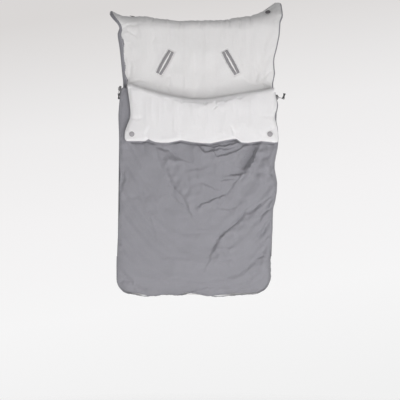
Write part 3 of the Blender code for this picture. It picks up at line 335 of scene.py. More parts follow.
def smooth_curve(keys, values, sigma):
    """Function through a table, softened over sigma."""
    order = np.argsort(keys)
    keys, values = np.asarray(keys)[order], np.asarray(values)[order]
    dense = np.linspace(keys[0], keys[-1], 1200)
    line = np.interp(dense, keys, values)
    step = dense[1] - dense[0]
    reach = max(int(3 * sigma / step), 1)
    kernel = np.exp(-((np.arange(-reach, reach + 1) * step / sigma) ** 2) / 2)
    soft = np.convolve(np.pad(line, reach, mode="edge"), kernel / kernel.sum(), mode="valid")
    return lambda key: np.interp(key, dense, soft)


def side_curve(table, sigma):
    heights, places = zip(*table)
    return smooth_curve(px_z(heights), px_x(places), sigma)


def end_curve(table, sigma):
    places, heights = zip(*table)
    return smooth_curve(px_x(places), px_z(heights), sigma)


back_left, back_right = (side_curve(table, 0.0028) for table in (BACK_LEFT_PX, BACK_RIGHT_PX))
cover_left, cover_right = (side_curve(table, 0.0035) for table in (COVER_LEFT_PX, COVER_RIGHT_PX))
flap_left, flap_right = (side_curve(table, 0.0035) for table in (FLAP_LEFT_PX, FLAP_RIGHT_PX))
foot_line = end_curve(FOOT_PX, 0.0040)
hem_line = end_curve(HEM_PX, 0.0018)
mouth_line = end_curve(MOUTH_PX, 0.0070)


# Meshes


def add_piece(name, mesh, materials):
    piece = bpy.data.objects.new(name, mesh)
    bpy.context.scene.collection.objects.link(piece)
    for material in materials:
        mesh.materials.append(material)
    return piece


def ring_faces(low, high, count):
    """Faces between two closed rings of points, given by their first points."""
    return [(low + k, low + (k + 1) % count, high + (k + 1) % count, high + k) for k in range(count)]


def plain_mesh(name, verts, faces):
    mesh = bpy.data.meshes.new(name)
    mesh.from_pydata(np.asarray(verts, float).tolist(), [], faces)
    mesh.shade_smooth()
    return mesh


def mend(mesh):
    """Welds points that coincide and turns a closed mesh's faces outward."""
    fix = bmesh.new()
    fix.from_mesh(mesh)
    bmesh.ops.remove_doubles(fix, verts=fix.verts, dist=0.00001)
    bmesh.ops.recalc_face_normals(fix, faces=fix.faces)
    if fix.calc_volume(signed=True) < 0.0:
        bmesh.ops.reverse_faces(fix, faces=fix.faces)
    fix.to_mesh(mesh)
    fix.free()
    mesh.shade_smooth()


def grid_mesh(name, front, rear, slots, materials):
    """Closed piece between the front and rear sheets of one grid, with the material of each place."""
    return tube_mesh(name, np.concatenate([front, rear[:, ::-1]], axis=1), slots, materials)


def tube_mesh(name, loops, slots, materials):
    """Closed tube through loops of points, its flat ends filled by strips across each loop."""
    rows, count, _ = loops.shape
    slots = np.broadcast_to(slots, (rows - 1, count))
    faces, indices = [], []
    for row in range(rows - 1):
        faces += ring_faces(row * count, (row + 1) * count, count)
        indices += slots[row].tolist()
    for row, step in ((0, -1), (rows - 1, 1)):
        base = row * count
        for k in range(count // 2 - 1):
            quad = (base + k, base + k + 1, base + count - 2 - k, base + count - 1 - k)
            faces.append(quad[::step])
            indices.append(int(slots[min(row, rows - 2), k]))
    mesh = plain_mesh(name, loops.reshape(-1, 3), faces)
    mesh.polygons.foreach_set("material_index", np.array(indices, np.int32))
    mend(mesh)
    return add_piece(name, mesh, materials)


def apply_modifiers(piece):
    graph = bpy.context.evaluated_depsgraph_get()
    mesh = bpy.data.meshes.new_from_object(piece.evaluated_get(graph))
    piece.modifiers.clear()
    piece.data = mesh


def lathe(name, profile, matrix, material):
    """Turned piece from radius and height points."""
    count = 40
    turns = np.arange(count) * math.tau / count
    circle = np.stack([np.cos(turns), np.sin(turns), np.zeros(count)], axis=-1)
    rings = [radius * circle + (0.0, 0.0, height) for radius, height in profile]
    last = (len(profile) - 1) * count
    faces = []
    for base in range(0, last, count):
        faces += ring_faces(base, base + count, count)
    faces += [tuple(range(count))[::-1], tuple(range(last, last + count))]
    mesh = plain_mesh(name, np.concatenate(rings), faces)
    mesh.transform(matrix)
    mend(mesh)
    mesh.set_sharp_from_angle(angle=math.radians(50))
    return add_piece(name, mesh, [material])


STITCH_PITCH = 0.0036
STITCH_LENGTH = 0.0026
STITCH_RADIUS = 0.00028
STITCH_LIFT = 0.0001
STITCH_SIDES = 6
STITCH_RINGS = ((0.0, 0.45), (0.2, 1.0), (0.8, 1.0), (1.0, 0.45))


def stitches(name, path, normals, material):
    """Row of thread stitches along a line of points, lying on the cloth."""
    path, normals = np.asarray(path, float), np.asarray(normals, float)
    reached = np.concatenate([[0.0], np.cumsum(np.linalg.norm(path[1:] - path[:-1], axis=1))])
    verts, faces = [], []
    start = STITCH_PITCH / 2
    while start + STITCH_LENGTH < reached[-1]:
        rings = []
        for share, size in STITCH_RINGS:
            at = start + STITCH_LENGTH * share
            point = np.array([np.interp(at, reached, path[:, k]) for k in range(3)])
            normal = np.array([np.interp(at, reached, normals[:, k]) for k in range(3)])
            rings.append((point, normal / np.linalg.norm(normal), size))
        along = rings[-1][0] - rings[0][0]
        along = along / np.linalg.norm(along)
        base = len(verts)
        for point, normal, size in rings:
            side = np.cross(along, normal)
            for turn in np.arange(STITCH_SIDES) * math.tau / STITCH_SIDES:
                off = side * math.cos(turn) + normal * math.sin(turn)
                verts.append(point + normal * STITCH_LIFT + off * STITCH_RADIUS * size)
        last = base + (len(rings) - 1) * STITCH_SIDES
        for ring in range(base, last, STITCH_SIDES):
            faces += ring_faces(ring, ring + STITCH_SIDES, STITCH_SIDES)
        faces += [tuple(range(base, base + STITCH_SIDES))[::-1], tuple(range(last, last + STITCH_SIDES))]
        start += STITCH_PITCH
    return add_piece(name, plain_mesh(name, verts, faces), [material])


def grid_normals(grid):
    """Outward normals of a front sheet, whose columns run to +X and rows up."""
    normals = np.cross(np.gradient(grid, axis=1), np.gradient(grid, axis=0))
    normals /= np.maximum(np.linalg.norm(normals, axis=-1, keepdims=True), 1e-9)
    return np.where(normals[..., 1:2] > 0.0, -normals, normals)


def frame_path(low, high, left, right):
    """Grid places from high to low in the left column, along the low row and back in the right column."""
    step = 1 if high > low else -1
    path = [(row, left) for row in range(high, low, -step)]
    path += [(low, column) for column in range(left, right + 1)]
    return path + [(row, right) for row in range(low + step, high + step, step)]


def sew(name, grid, path, material, normals=None):
    """Stitches through grid places, path being pairs of row and column."""
    normals = grid_normals(grid) if normals is None else normals
    rows, columns = zip(*path)
    return stitches(name, grid[rows, columns], normals[rows, columns], material)


# Materials


class Nodes:
    """Short way to write the nodes of a material or of the world."""

    def __init__(self, owner):
        owner.use_nodes = True
        self.owner = owner
        self.tree = owner.node_tree
        self.shader = self.tree.nodes.get("Principled BSDF")
        self.coordinates = self.add("ShaderNodeTexCoord").outputs

    def add(self, kind, **settings):
        node = self.tree.nodes.new(kind)
        for key, value in settings.items():
            setattr(node, key, value)
        return node

    def feed(self, socket, value):
        """Links an output to a socket, or sets the socket to a number or colour."""
        if isinstance(value, tuple):
            socket.default_value = (*value, 1.0)
        elif isinstance(value, (int, float)):
            socket.default_value = value
        else:
            self.tree.links.new(value, socket)

    def math(self, operation, first, second=None, clamp=False):
        node = self.add("ShaderNodeMath", operation=operation, use_clamp=clamp)
        self.feed(node.inputs[0], first)
        if second is not None:
            self.feed(node.inputs[1], second)
        return node.outputs[0]

    def plus(self, first, second, clamp=False):
        return self.math("ADD", first, second, clamp)

    def minus(self, first, second, clamp=False):
        return self.math("SUBTRACT", first, second, clamp)

    def times(self, first, second, clamp=False):
        return self.math("MULTIPLY", first, second, clamp)

    def noise(self, scale, detail, roughness, stretch=None):
        node = self.add("ShaderNodeTexNoise")
        for key, value in (("Scale", scale), ("Detail", detail), ("Roughness", roughness)):
            node.inputs[key].default_value = value
        place = self.coordinates["Object"]
        if stretch:
            mapping = self.add("ShaderNodeMapping")
            mapping.inputs["Scale"].default_value = stretch
            self.feed(mapping.inputs["Vector"], place)
            place = mapping.outputs["Vector"]
        self.feed(node.inputs["Vector"], place)
        return node.outputs["Fac"]

    def axes(self, place="Object"):
        split = self.add("ShaderNodeSeparateXYZ")
        self.feed(split.inputs[0], self.coordinates[place])
        return split.outputs[0], split.outputs[1], split.outputs[2]

    def wave(self, value, pitch, shift=0.0):
        """Sine of a length, from 0 to 1, once for each pitch."""
        sine = self.math("SINE", self.plus(self.times(value, math.tau / pitch), shift))
        return self.plus(self.times(sine, 0.5), 0.5)

    def colours(self, factor, stops):
        node = self.add("ShaderNodeValToRGB")
        elements = node.color_ramp.elements
        while len(elements) < len(stops):
            elements.new(0.5)
        for element, (position, colour) in zip(elements, stops):
            element.position = position
            element.color = (*colour, 1.0)
        self.feed(node.inputs["Fac"], factor)
        return node.outputs["Color"]

    def mix(self, factor, first, second):
        node = self.add("ShaderNodeMix", data_type="RGBA")
        for socket, value in (("Factor", factor), (6, first), (7, second)):
            self.feed(node.inputs[socket], value)
        return node.outputs[2]

    def mix_shaders(self, factor, first, second):
        node = self.add("ShaderNodeMixShader")
        for socket, value in zip(node.inputs, (factor, first, second)):
            self.feed(socket, value)
        return node.outputs[0]

    def bump(self, height, distance, strength, below=None):
        node = self.add("ShaderNodeBump")
        node.inputs["Distance"].default_value = distance
        node.inputs["Strength"].default_value = strength
        self.feed(node.inputs["Height"], height)
        if below is not None:
            self.feed(node.inputs["Normal"], below)
        return node.outputs["Normal"]

    def finish(self, colour, roughness, normal=None, **values):
        self.feed(self.shader.inputs["Base Color"], colour)
        self.feed(self.shader.inputs["Roughness"], roughness)
        if normal is not None:
            self.feed(self.shader.inputs["Normal"], normal)
        for key, value in values.items():
            self.shader.inputs[key.replace("_", " ")].default_value = value
        return self.owner


def new_material(name):
    return Nodes(bpy.data.materials.new(name))


def scaled(colour, share):
    return tuple(min(part * share, 1.0) for part in colour)


def cloth(name, colour, pitch, depth, mottle, roughness, sheen, twill=False):
    """Woven cloth: two crossing sets of threads, or a twill's slanted rib, slubs and soft mottling."""
    n = new_material(name)
    x, y, z = n.axes()
    across = n.plus(x, n.times(y, 0.35))
    if twill:
        rib = n.wave(n.plus(across, z), pitch * 1.4)
        weave = n.times(rib, n.plus(0.55, n.times(n.wave(z, pitch), 0.45)))
    else:
        weave = n.times(n.wave(across, pitch), n.wave(z, pitch, 0.4))
    slubs = n.noise(420.0, 3.0, 0.6, (1.0, 1.0, 0.18))
    cross_slubs = n.noise(420.0, 3.0, 0.6, (0.18, 1.0, 1.0))
    broad = n.noise(16.0, 4.0, 0.6)
    fine = n.noise(95.0, 5.0, 0.7)
    threads = n.plus(n.times(slubs, 0.30), n.times(cross_slubs, 0.25))
    tone = n.plus(threads, n.plus(n.times(broad, 0.25), n.times(fine, 0.20)))
    stops = ((0.30, scaled(colour, 1.0 - mottle)), (0.52, colour), (0.74, scaled(colour, 1.0 + mottle)))
    shade = n.mix(n.times(weave, 0.10), n.colours(tone, stops), scaled(colour, 0.72))
    normal = n.bump(slubs, 0.00022, 0.7, n.bump(fine, 0.0010, 0.55))
    normal = n.bump(weave, depth, 0.8, normal)
    rough = n.plus(roughness - 0.06, n.times(fine, 0.12))
    return n.finish(shade, rough, normal, Sheen_Weight=sheen, Sheen_Roughness=0.45, Specular_IOR_Level=0.25)


def tape(name, colour, rib, roughness=0.8):
    """Ribbed woven tape."""
    n = new_material(name)
    x, y, z = n.axes()
    ribs = n.wave(z, rib)
    threads = n.wave(n.plus(x, y), rib * 0.8)
    shade = n.mix(n.times(ribs, 0.35), colour, scaled(colour, 0.62))
    shade = n.mix(n.times(n.noise(260.0, 4.0, 0.65), 0.30), shade, scaled(colour, 1.45))
    normal = n.bump(threads, rib * 0.12, 0.5, n.bump(ribs, rib * 0.25, 0.7))
    return n.finish(shade, roughness, normal, Sheen_Weight=0.15, Specular_IOR_Level=0.25)


def lacquer(name, colour, roughness, metallic, speck=0.12):
    """Painted or plated metal, with fine specks, faint scuffs and worn tone."""
    n = new_material(name)
    fine = n.noise(900.0, 4.0, 0.7)
    scuff = n.noise(120.0, 6.0, 0.75, (1.0, 1.0, 0.25))
    shade = n.colours(fine, ((0.35, scaled(colour, 1.0 - speck)), (0.65, scaled(colour, 1.0 + speck))))
    shade = n.mix(n.times(n.math("GREATER_THAN", scuff, 0.66), 0.25), shade, scaled(colour, 1.5))
    rough = n.plus(roughness - 0.08, n.times(scuff, 0.18))
    return n.finish(shade, rough, n.bump(fine, 0.00006, 0.4), Metallic=metallic)


def moulded(name, colour, roughness):
    """Moulded plastic, its grain fine and its tone worn."""
    n = new_material(name)
    grain = n.noise(1400.0, 3.0, 0.6)
    wear = n.noise(160.0, 5.0, 0.7)
    shade = n.mix(n.times(wear, 0.4), colour, scaled(colour, 1.8))
    return n.finish(shade, n.plus(roughness - 0.06, n.times(wear, 0.12)), n.bump(grain, 0.00012, 0.5))


def zip_material(name, centre_y, reach):
    """Zip half: moulded teeth near the middle plane and woven tape beyond."""
    n = new_material(name)
    _, y, z = n.axes()
    on_tape = n.math("GREATER_THAN", n.math("ABSOLUTE", n.minus(y, centre_y)), reach)
    ribs = n.wave(z, 0.0011)
    tape_shade = n.mix(n.times(ribs, 0.4), (0.268, 0.264, 0.284), (0.225, 0.222, 0.238))
    worn = n.times(n.noise(300.0, 4.0, 0.6), 0.5)
    teeth_shade = n.mix(worn, (0.105, 0.104, 0.112), (0.155, 0.153, 0.162))
    rough = n.plus(0.38, n.times(on_tape, 0.42))
    return n.finish(n.mix(on_tape, teeth_shade, tape_shade), rough, n.bump(ribs, 0.0002, 0.5))


def dotted(name, pitch):
    """Cloth with staggered rows of raised grip dots."""
    n = new_material(name)
    x, _, z = n.axes()
    far = 200.0
    row = n.math("FLOOR", n.math("DIVIDE", z, pitch))
    shift = n.times(n.math("MODULO", n.math("ABSOLUTE", row), 2.0), 0.5)
    along = n.plus(n.math("DIVIDE", x, pitch), n.plus(shift, far))
    up = n.math("DIVIDE", n.plus(z, far * pitch), pitch)
    squares = [n.math("POWER", n.minus(n.math("FRACT", value), 0.5), 2.0) for value in (along, up)]
    gap = n.math("SQRT", n.plus(*squares))
    dot = n.minus(1.0, n.times(n.minus(gap, 0.20), 12.0, True), True)
    base = n.mix(n.noise(300.0, 4.0, 0.6), (0.085, 0.085, 0.092), (0.125, 0.125, 0.132))
    weave = n.times(n.wave(x, 0.0009), n.wave(z, 0.0009))
    normal = n.bump(weave, 0.0002, 0.6, n.bump(dot, 0.0006, 0.9))
    return n.finish(n.mix(dot, base, (0.035, 0.035, 0.038)), n.minus(0.86, n.times(dot, 0.45)), normal)


def thread(name, colour):
    n = new_material(name)
    x, _, z = n.axes()
    twist = n.wave(n.plus(x, z), 0.0006)
    shade = n.mix(n.times(twist, 0.5), colour, scaled(colour, 0.7))
    return n.finish(shade, 0.6, n.bump(twist, 0.0001, 0.5), Sheen_Weight=0.2)


SHELL_CLOTH = cloth(
    "grey_shell_cloth", (0.258, 0.254, 0.276), 0.0009, 0.00014, 0.06, 0.72, 0.25, twill=True
)
LINING_CLOTH = cloth("pale_cotton_lining", (0.741, 0.727, 0.725), 0.00075, 0.00012, 0.035, 0.90, 0.30)
FLAP_CLOTH = cloth("pale_flap_lining", (0.744, 0.731, 0.737), 0.00075, 0.00012, 0.03, 0.90, 0.30)
WELT_TAPE = tape("grey_slot_welt", (0.290, 0.280, 0.290), 0.0016)
PALE_THREAD = thread("pale_thread", (0.80, 0.79, 0.79))
SLOT_THREAD = thread("slot_outline_thread", (0.42, 0.41, 0.42))
GREY_THREAD = thread("grey_thread", (0.205, 0.203, 0.215))
STUD_LACQUER = lacquer("grey_stud_lacquer", (0.270, 0.258, 0.268), 0.42, 0.35)
# Painted shade: a darker copy of the stud lacquer for the ear studs, which sit in shade on the ears
EAR_STUD_SHADED_LACQUER = lacquer("ear_stud_lacquer_painted_shade", (0.085, 0.080, 0.086), 0.42, 0.35)
STUD_STEEL = lacquer("nickel_stud_back", (0.36, 0.355, 0.35), 0.46, 0.85, 0.06)
ZIP_METAL = lacquer("dark_zip_metal", (0.095, 0.094, 0.098), 0.40, 0.70)
GRIP_PLASTIC = moulded("black_pull_grip", (0.016, 0.016, 0.018), 0.52)
ZIP_CHAIN = zip_material("zip_teeth_and_tape", ZIP_PLANE, 0.0031)
DOTTED_CLOTH = dotted("dotted_grip_cloth", 0.0075)
ELASTIC = tape("ribbed_elastic", (0.045, 0.045, 0.050), 0.0021, 0.85)


# Cloth simulation

CLOTH_CELL = 0.0072
CLOTH_FRAMES = 20
CLOTH_DOME = 7
CLOTH_SETTINGS = {
    "quality": 5, "mass": 0.25, "tension_stiffness": 18.0, "compression_stiffness": 12.0,
    "bending_stiffness": 0.35, "vertex_group_mass": "seams", "use_pressure": True,
}
# Each panel's low and high corner, slack, filling, sag, cap and seed
CLOTH_PANELS = {
    "cover": ((-0.232, -0.752), (0.228, -0.150), 0.028, 0.9, 0.8, 0.0024, 31),
    "flap": ((-0.212, -0.330), (0.232, -0.190), 0.012, 0.4, 0.6, 0.0010, 32),
    "back": ((-0.232, -0.752), (0.232, 0.060), 0.014, 0.5, 0.8, 0.0013, 33),
}
RELIEF = {}


def blurred(field, reach):
    """Field softened over reach cells both ways."""
    kernel = hump(np.arange(-2 * reach, 2 * reach + 1), reach)
    kernel /= kernel.sum()
    for axis in (0, 1):
        widths = [(0, 0), (0, 0)]
        widths[axis] = (2 * reach, 2 * reach)
        wide = np.pad(field, widths, mode="edge")
        field = np.apply_along_axis(lambda line: np.convolve(line, kernel, mode="valid"), axis, wide)
    return field


def cloth_relief(name, low, high, slack, filling, sag, cap, seed):
    """Relief of a sewn panel between two corners, as a function of x and z.

    A sheet slightly larger than its frame, pinned all round, is blown out by its filling and sags under its
    own weight for a few frames. The broad dome is taken off, because the panel's own form has it, and the
    rest is capped.
    """
    columns, rows = (int((high[k] - low[k]) / CLOTH_CELL) + 1 for k in (0, 1))
    grid_x, grid_z = np.meshgrid(np.linspace(low[0], high[0], columns), np.linspace(low[1], high[1], rows))
    uneven = 0.0008 * undulation(grid_x, grid_z, 0.045, seed)
    verts = np.stack([grid_x, uneven, grid_z], axis=-1).reshape(-1, 3)
    starts = [row * columns + k for row in range(rows - 1) for k in range(columns - 1)]
    faces = [(k, k + 1, k + columns + 1, k + columns) for k in starts]
    sheet = add_piece(name, plain_mesh(name, verts, faces), [])
    ends = ({0, rows - 1}, {0, columns - 1})
    edge = [k for k in range(rows * columns) if k // columns in ends[0] or k % columns in ends[1]]
    sheet.vertex_groups.new(name="seams").add(edge, 1.0, "REPLACE")
    modifier = sheet.modifiers.new("cloth", "CLOTH")
    settings = modifier.settings
    for key, value in CLOTH_SETTINGS.items():
        setattr(settings, key, value)
    settings.shrink_min = -slack
    settings.uniform_pressure_force = filling
    settings.effector_weights.gravity = sag
    modifier.collision_settings.use_collision = False
    modifier.collision_settings.use_self_collision = False
    scene = bpy.context.scene
    for step in range(1, CLOTH_FRAMES + 1):
        scene.frame_set(step)
    settled = sheet.evaluated_get(bpy.context.evaluated_depsgraph_get()).data
    places = np.empty(3 * len(verts), np.float32)
    settled.vertices.foreach_get("co", places)
    bpy.data.objects.remove(sheet)
    scene.frame_set(1)
    rise = -places.reshape(rows, columns, 3)[..., 1].astype(float)
    rise = rise - blurred(rise, CLOTH_DOME)
    rise = cap * np.tanh(rise / cap)
    rise -= rise.mean()

    def relief(x, z):
        u = np.clip((x - low[0]) / (high[0] - low[0]), 0.0, 1.0) * (columns - 1)
        v = np.clip((z - low[1]) / (high[1] - low[1]), 0.0, 1.0) * (rows - 1)
        u, v = np.broadcast_arrays(u, v)
        k, row = np.minimum(u.astype(int), columns - 2), np.minimum(v.astype(int), rows - 2)
        across, up = ramp(u - k, 0.0, 1.0), ramp(v - row, 0.0, 1.0)
        lower = lerp(rise[row, k], rise[row, k + 1], across)
        return lerp(lower, lerp(rise[row + 1, k], rise[row + 1, k + 1], across), up)

    return relief


def settle_cloth():
    for panel, values in CLOTH_PANELS.items():
        RELIEF[panel] = cloth_relief(f"{panel}_cloth", *values)


# Front cover

DEEPEST_CREASE = 0.0062
SIDE_ROUND = {"left": (0.034, 0.0070), "right": (0.014, 0.0070), "foot": (0.016, 0.0055)}
COVER_SEAM = {"left": 0.0062, "right": 0.0050, "foot": 0.0070}
STUD_HOLD = (0.006, 0.022)
# Where the hem's hollow fades in at its left end and out at its right one
HEM_FADE_PX = ((129.0, 134.0), (276.0, 272.0))
HEM_HOLLOW = 0.0068
HEM_HOLLOW_WIDTH = 0.0027
LINING_FACE = -0.0524


def roll_height(x):
    """Height of the turned mouth's middle line."""
    return mouth_line(x) - ROLL_RADIUS - PANEL


def cover_face(x, z, left, right):
    """Front face of the cover without its creases."""
    share = np.clip((x - left) / (right - left), 0.0, 1.0)
    crown = POUCH_CROWN * (1.0 + np.cos(math.pi * (2.0 * share - 1.0))) / 2.0
    return BACK_FRONT - lerp(FOOT_DEPTH, POUCH_DEPTH + crown, ramp(z, FOOT_Z, FOOT_Z + FOOT_RISE)) - PANEL


def cover_sheets():
    """Front and rear sheets of the cover, from the foot's edge up to the roll of its mouth."""
    columns = np.concatenate([[0.0, 0.0035, 0.009], np.linspace(0.018, 0.982, 196), [0.991, 0.9965, 1.0]])
    rows = np.concatenate([[0.0, 0.0022, 0.006, 0.011], np.linspace(0.018, 1.0, 262)])
    t, v = np.meshgrid(columns, rows)
    guess = lerp(-0.22, 0.215, t)
    foot = foot_line(guess)
    z = lerp(foot, roll_height(np.clip(guess, -0.198, 0.225)), v)
    rise = z - foot
    left = cover_left(z) + corner_inset(rise, COVER_CORNER["left"])
    right = cover_right(z) - corner_inset(rise, COVER_CORNER["right"])
    x = lerp(left, right, t)
    side = np.minimum(x - left, right - x)
    rim = np.minimum(side, rise)
    y = cover_face(x, z, left, right)
    y += side_round(x - left, *SIDE_ROUND["left"]) + side_round(right - x, *SIDE_ROUND["right"])
    y += side_round(rise, *SIDE_ROUND["foot"])
    calm = ramp(rim, 0.0, 0.020)
    soft = 0.0010 * undulation(x, z, 0.075, 1) + 0.0003 * undulation(x, z, 0.030, 2)
    puckers = 0.0009 * undulation(x * 0.4, z, 0.016, 3)
    detail = creases(x, z, COVER_CREASES) + soft * (0.35 + 0.65 * calm) + puckers * (1.0 - calm)
    detail += RELIEF["cover"](x, z) * calm
    # Flatter under the flap, and flat round the ball studs
    detail *= lerp(1.0, 0.25, ramp(z - hem_line(x), 0.006, 0.026))
    for node in ("cover_stud_left", "cover_stud_right"):
        low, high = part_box(node)
        apart = np.hypot(x - (low[0] + high[0]) / 2, z - (low[2] + high[2]) / 2)
        detail *= ramp(apart, *STUD_HOLD)
    # The hem of the flap lies in a shallow hollow
    left_fade, right_fade = px_x(HEM_FADE_PX)
    covered = ramp(x, *left_fade) * ramp(-x, *-right_fade)
    hollow = covered * np.clip(0.72 + 0.40 * undulation(x, z, 0.034, 8), 0.15, 1.15)
    detail -= HEM_HOLLOW * hump(z - hem_line(x) + 0.0019, HEM_HOLLOW_WIDTH) * hollow
    detail = np.maximum(detail * (0.30 + 0.70 * ramp(side, 0.0, 0.007)), -DEEPEST_CREASE)
    front = np.stack([x, y - detail, z], axis=-1)
    thick = np.minimum(PANEL, 0.0015 + 0.45 * rim)
    rear_y = np.minimum(y + thick, LINING_FACE + side_round(rise, 0.050, 0.012))
    rear_y = rear_y - 0.0006 * undulation(x, z, 0.060, 4) * calm
    rear_y = np.maximum(rear_y, front[..., 1] + 0.0012)
    return front, np.stack([x, rear_y, z], axis=-1)


def make_cover():
    front, rear = cover_sheets()
    count = front.shape[1]
    slots = np.zeros(2 * count, int)
    slots[count : 2 * count - 1] = 1
    cover = grid_mesh("front_cover", front, rear, slots, [SHELL_CLOTH, LINING_CLOTH])
    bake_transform(cover)
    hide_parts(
        "cover_shell", "cover_wadding", "cover_lining", "cover_gusset_left", "cover_gusset_right"
    )
    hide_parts("foot_pocket_shell", "foot_pocket_wadding", "foot_pocket_lining")
    spread = front[front.shape[0] // 2, :, 0]
    heights = front[:, count // 2, 2]
    left = nearest(spread, spread[0] + COVER_SEAM["left"])
    right = nearest(spread, spread[-1] - COVER_SEAM["right"])
    path = frame_path(nearest(heights, heights[0] + COVER_SEAM["foot"]), front.shape[0] - 1, left, right)
    line = sew("cover_edge_stitches", front, path, GREY_THREAD)
    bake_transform(line)


# Side wall of the foot pocket

WALL_TOP = -0.643
WALL_FRONT = -0.0548
WALL_BULGE = (0.0011, 0.0014)
WALL_TUCK = 0.0078
WALL_STEPS = 8


def wall_stations():
    """Places round the foot, from one zip's lower end to the other's, each with its outward direction."""
    left, right = cover_left(FOOT_Z), cover_right(FOOT_Z)
    stations = [(cover_left(z), z, -1.0, 0.0) for z in np.linspace(WALL_TOP, FOOT_Z + 0.046, 22)]
    quarter = math.pi / 2
    for side, turns in (("left", np.linspace(0.0, quarter, 12)), ("right", np.linspace(quarter, 0.0, 14))):
        radius, sign = COVER_CORNER[side], SIGN[side]
        if side == "right":
            middle = np.linspace(left + COVER_CORNER["left"], right - radius, 90)[1:]
            stations += [(x, foot_line(x), 0.0, -1.0) for x in middle]
        for turn in turns[1:]:
            x = (left if side == "left" else right) - sign * radius * (1.0 - math.cos(turn))
            z = foot_line(x) + radius * (1.0 - math.sin(turn))
            stations.append((x, z, sign * math.cos(turn), -math.sin(turn)))
    return stations + [(cover_right(z), z, 1.0, 0.0) for z in np.linspace(FOOT_Z + 0.055, WALL_TOP, 22)]


def make_foot_wall():
    """Strip from the cover's seam back to the rear panel, drawn in on the left, where the pull hangs."""
    loops = []
    for index, (x, z, nx, nz) in enumerate(wall_stations()):
        front_y = lerp(ZIP_PLANE, WALL_FRONT, float(ramp(z, FOOT_Z, FOOT_Z + FOOT_RISE)))
        wobble = 0.0006 * math.sin(index * 0.9) + 0.0004 * math.sin(index * 2.3)
        drawn_in = WALL_TUCK * float(ramp(z, -0.735, -0.705)) * max(-nx, 0.0)
        outer, inner = [], []
        for share in np.linspace(0.0, 1.0, WALL_STEPS):
            y = lerp(front_y, BACK_REAR + 0.0004, share)
            bulge = WALL_BULGE[0] + (WALL_BULGE[1] + wobble - drawn_in) * math.sin(math.pi * share)
            outer.append((x + nx * bulge, y, z + nz * bulge))
            inner.append((x + nx * (bulge - SKIN), y, z + nz * (bulge - SKIN)))
        loops.append(outer + inner[::-1])
    loops = np.array(loops)
    wall = tube_mesh("foot_side_wall", loops, 0, [SHELL_CLOTH])
    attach(wall, "back")
    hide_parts("foot_binding")
    outer = loops[:, :WALL_STEPS]


# Flap

FOLD_EASE = 0.62
FLAP_CORNER = {"left": 0.0135, "right": 0.0065}
FLAP_SEAM = 0.0065
TURN_ROWS = 15


def fold_lean(x):
    """How far the top of the turned mouth leans back towards the lining."""
    return 0.0035 + 0.0090 * np.exp(-(((x - px_x(216.0)) / 0.115) ** 4))


def ease_back(angle):
    """Share of the fold's lean round the roll: none behind, all on top, and part of it down the front."""
    return math.sin(angle) if angle < math.pi / 2 else lerp(FOLD_EASE, 1.0, math.sin(angle))


def flap_sheets():
    """Outer and inner sheets of the flap, over the roll of the mouth and down to the hem."""
    columns = np.concatenate([[0.0, 0.004, 0.010], np.linspace(0.020, 0.980, 176), [0.990, 0.996, 1.0]])
    downs = np.concatenate([np.linspace(0.0, 0.955, 62)[1:], [0.972, 0.985, 0.994, 1.0]])
    outer_rows, inner_rows = [], []
    guess = lerp(-0.200, 0.225, columns)
    roll_z = roll_height(guess)
    face = cover_face(guess, roll_z, cover_left(roll_z), cover_right(roll_z))
    lean = fold_lean(guess)
    x = lerp(flap_left(roll_z), flap_right(roll_z), columns)
    for turn in np.linspace(0.0, 1.0, TURN_ROWS):
        angle = math.pi * turn
        puff = 0.0005 * undulation(x * 1.4, x * 0.0 + turn * 0.02, 0.030, 5)
        for reach, rows in ((ROLL_RADIUS + PANEL + puff, outer_rows), (ROLL_RADIUS, inner_rows)):
            y = face - ROLL_RADIUS + reach * math.cos(angle) + lean * ease_back(angle)
            rows.append(np.stack([x, y, roll_z + reach * math.sin(angle)], axis=-1))
    hem = hem_line(lerp(flap_left(px_z(138.0)), flap_right(px_z(138.0)), columns))
    for down in downs:
        z = lerp(roll_z, hem, down)
        rise, fall = z - hem, roll_z - z
        left = flap_left(z) + corner_inset(rise, FLAP_CORNER["left"])
        right = flap_right(z) - corner_inset(rise, FLAP_CORNER["right"])
        x = lerp(left, right, columns)
        rim = np.minimum(np.minimum(x - left, right - x), rise)
        hang = 0.0030 * ramp(fall, 0.0, 0.060)
        wave = 0.0022 * ramp(down, 0.15, 1.0) * np.sin(math.pi * 5.0 * (x + 0.19) / 0.39) ** 2
        inside = ramp(rim, 0.0, 0.012)
        detail = creases(x, z, FLAP_CREASES) + 0.0006 * undulation(x, z, 0.060, 6) * inside
        detail += 0.0004 * undulation(x, z, 0.014, 7) * (1.0 - ramp(rim, 0.0, 0.010))
        detail += RELIEF["flap"](x, z) * inside
        clear = face - 2.0 * ROLL_RADIUS - wave + hang * 0.3
        clear = clear + lean * FOLD_EASE * np.exp(-fall / 0.019) * ramp(rise, 0.0, 0.030)
        thick = np.minimum(PANEL, 0.0030 + 0.55 * rim)
        outer_rows.append(np.stack([x, clear - thick - detail, z], axis=-1))
        inner_rows.append(np.stack([x, clear - 0.0004 - 0.09 * np.maximum(PANEL - thick, 0.0), z], axis=-1))
    return np.array(outer_rows), np.array(inner_rows)


def make_flap():
    outer, inner = flap_sheets()
    count = outer.shape[1]
    slots = np.zeros((outer.shape[0] - 1, 2 * count), int)
    slots[:, count : 2 * count - 1] = 1
    slots[-2:] = 1
    flap = grid_mesh("neck_flap", outer, inner, slots, [FLAP_CLOTH, SHELL_CLOTH])
    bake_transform(flap)
    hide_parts("flap_shell", "flap_wadding", "flap_lining")
    spread = outer[40, :, 0]
    heights = outer[:, count // 2, 2]
    left, right = nearest(spread, spread[0] + FLAP_SEAM), nearest(spread, spread[-1] - FLAP_SEAM)
    path = frame_path(nearest(heights, heights[-1] + FLAP_SEAM), TURN_ROWS - 1, left, right)
    line = sew("flap_edge_stitches", outer, path, PALE_THREAD)
    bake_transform(line)


# Back panel

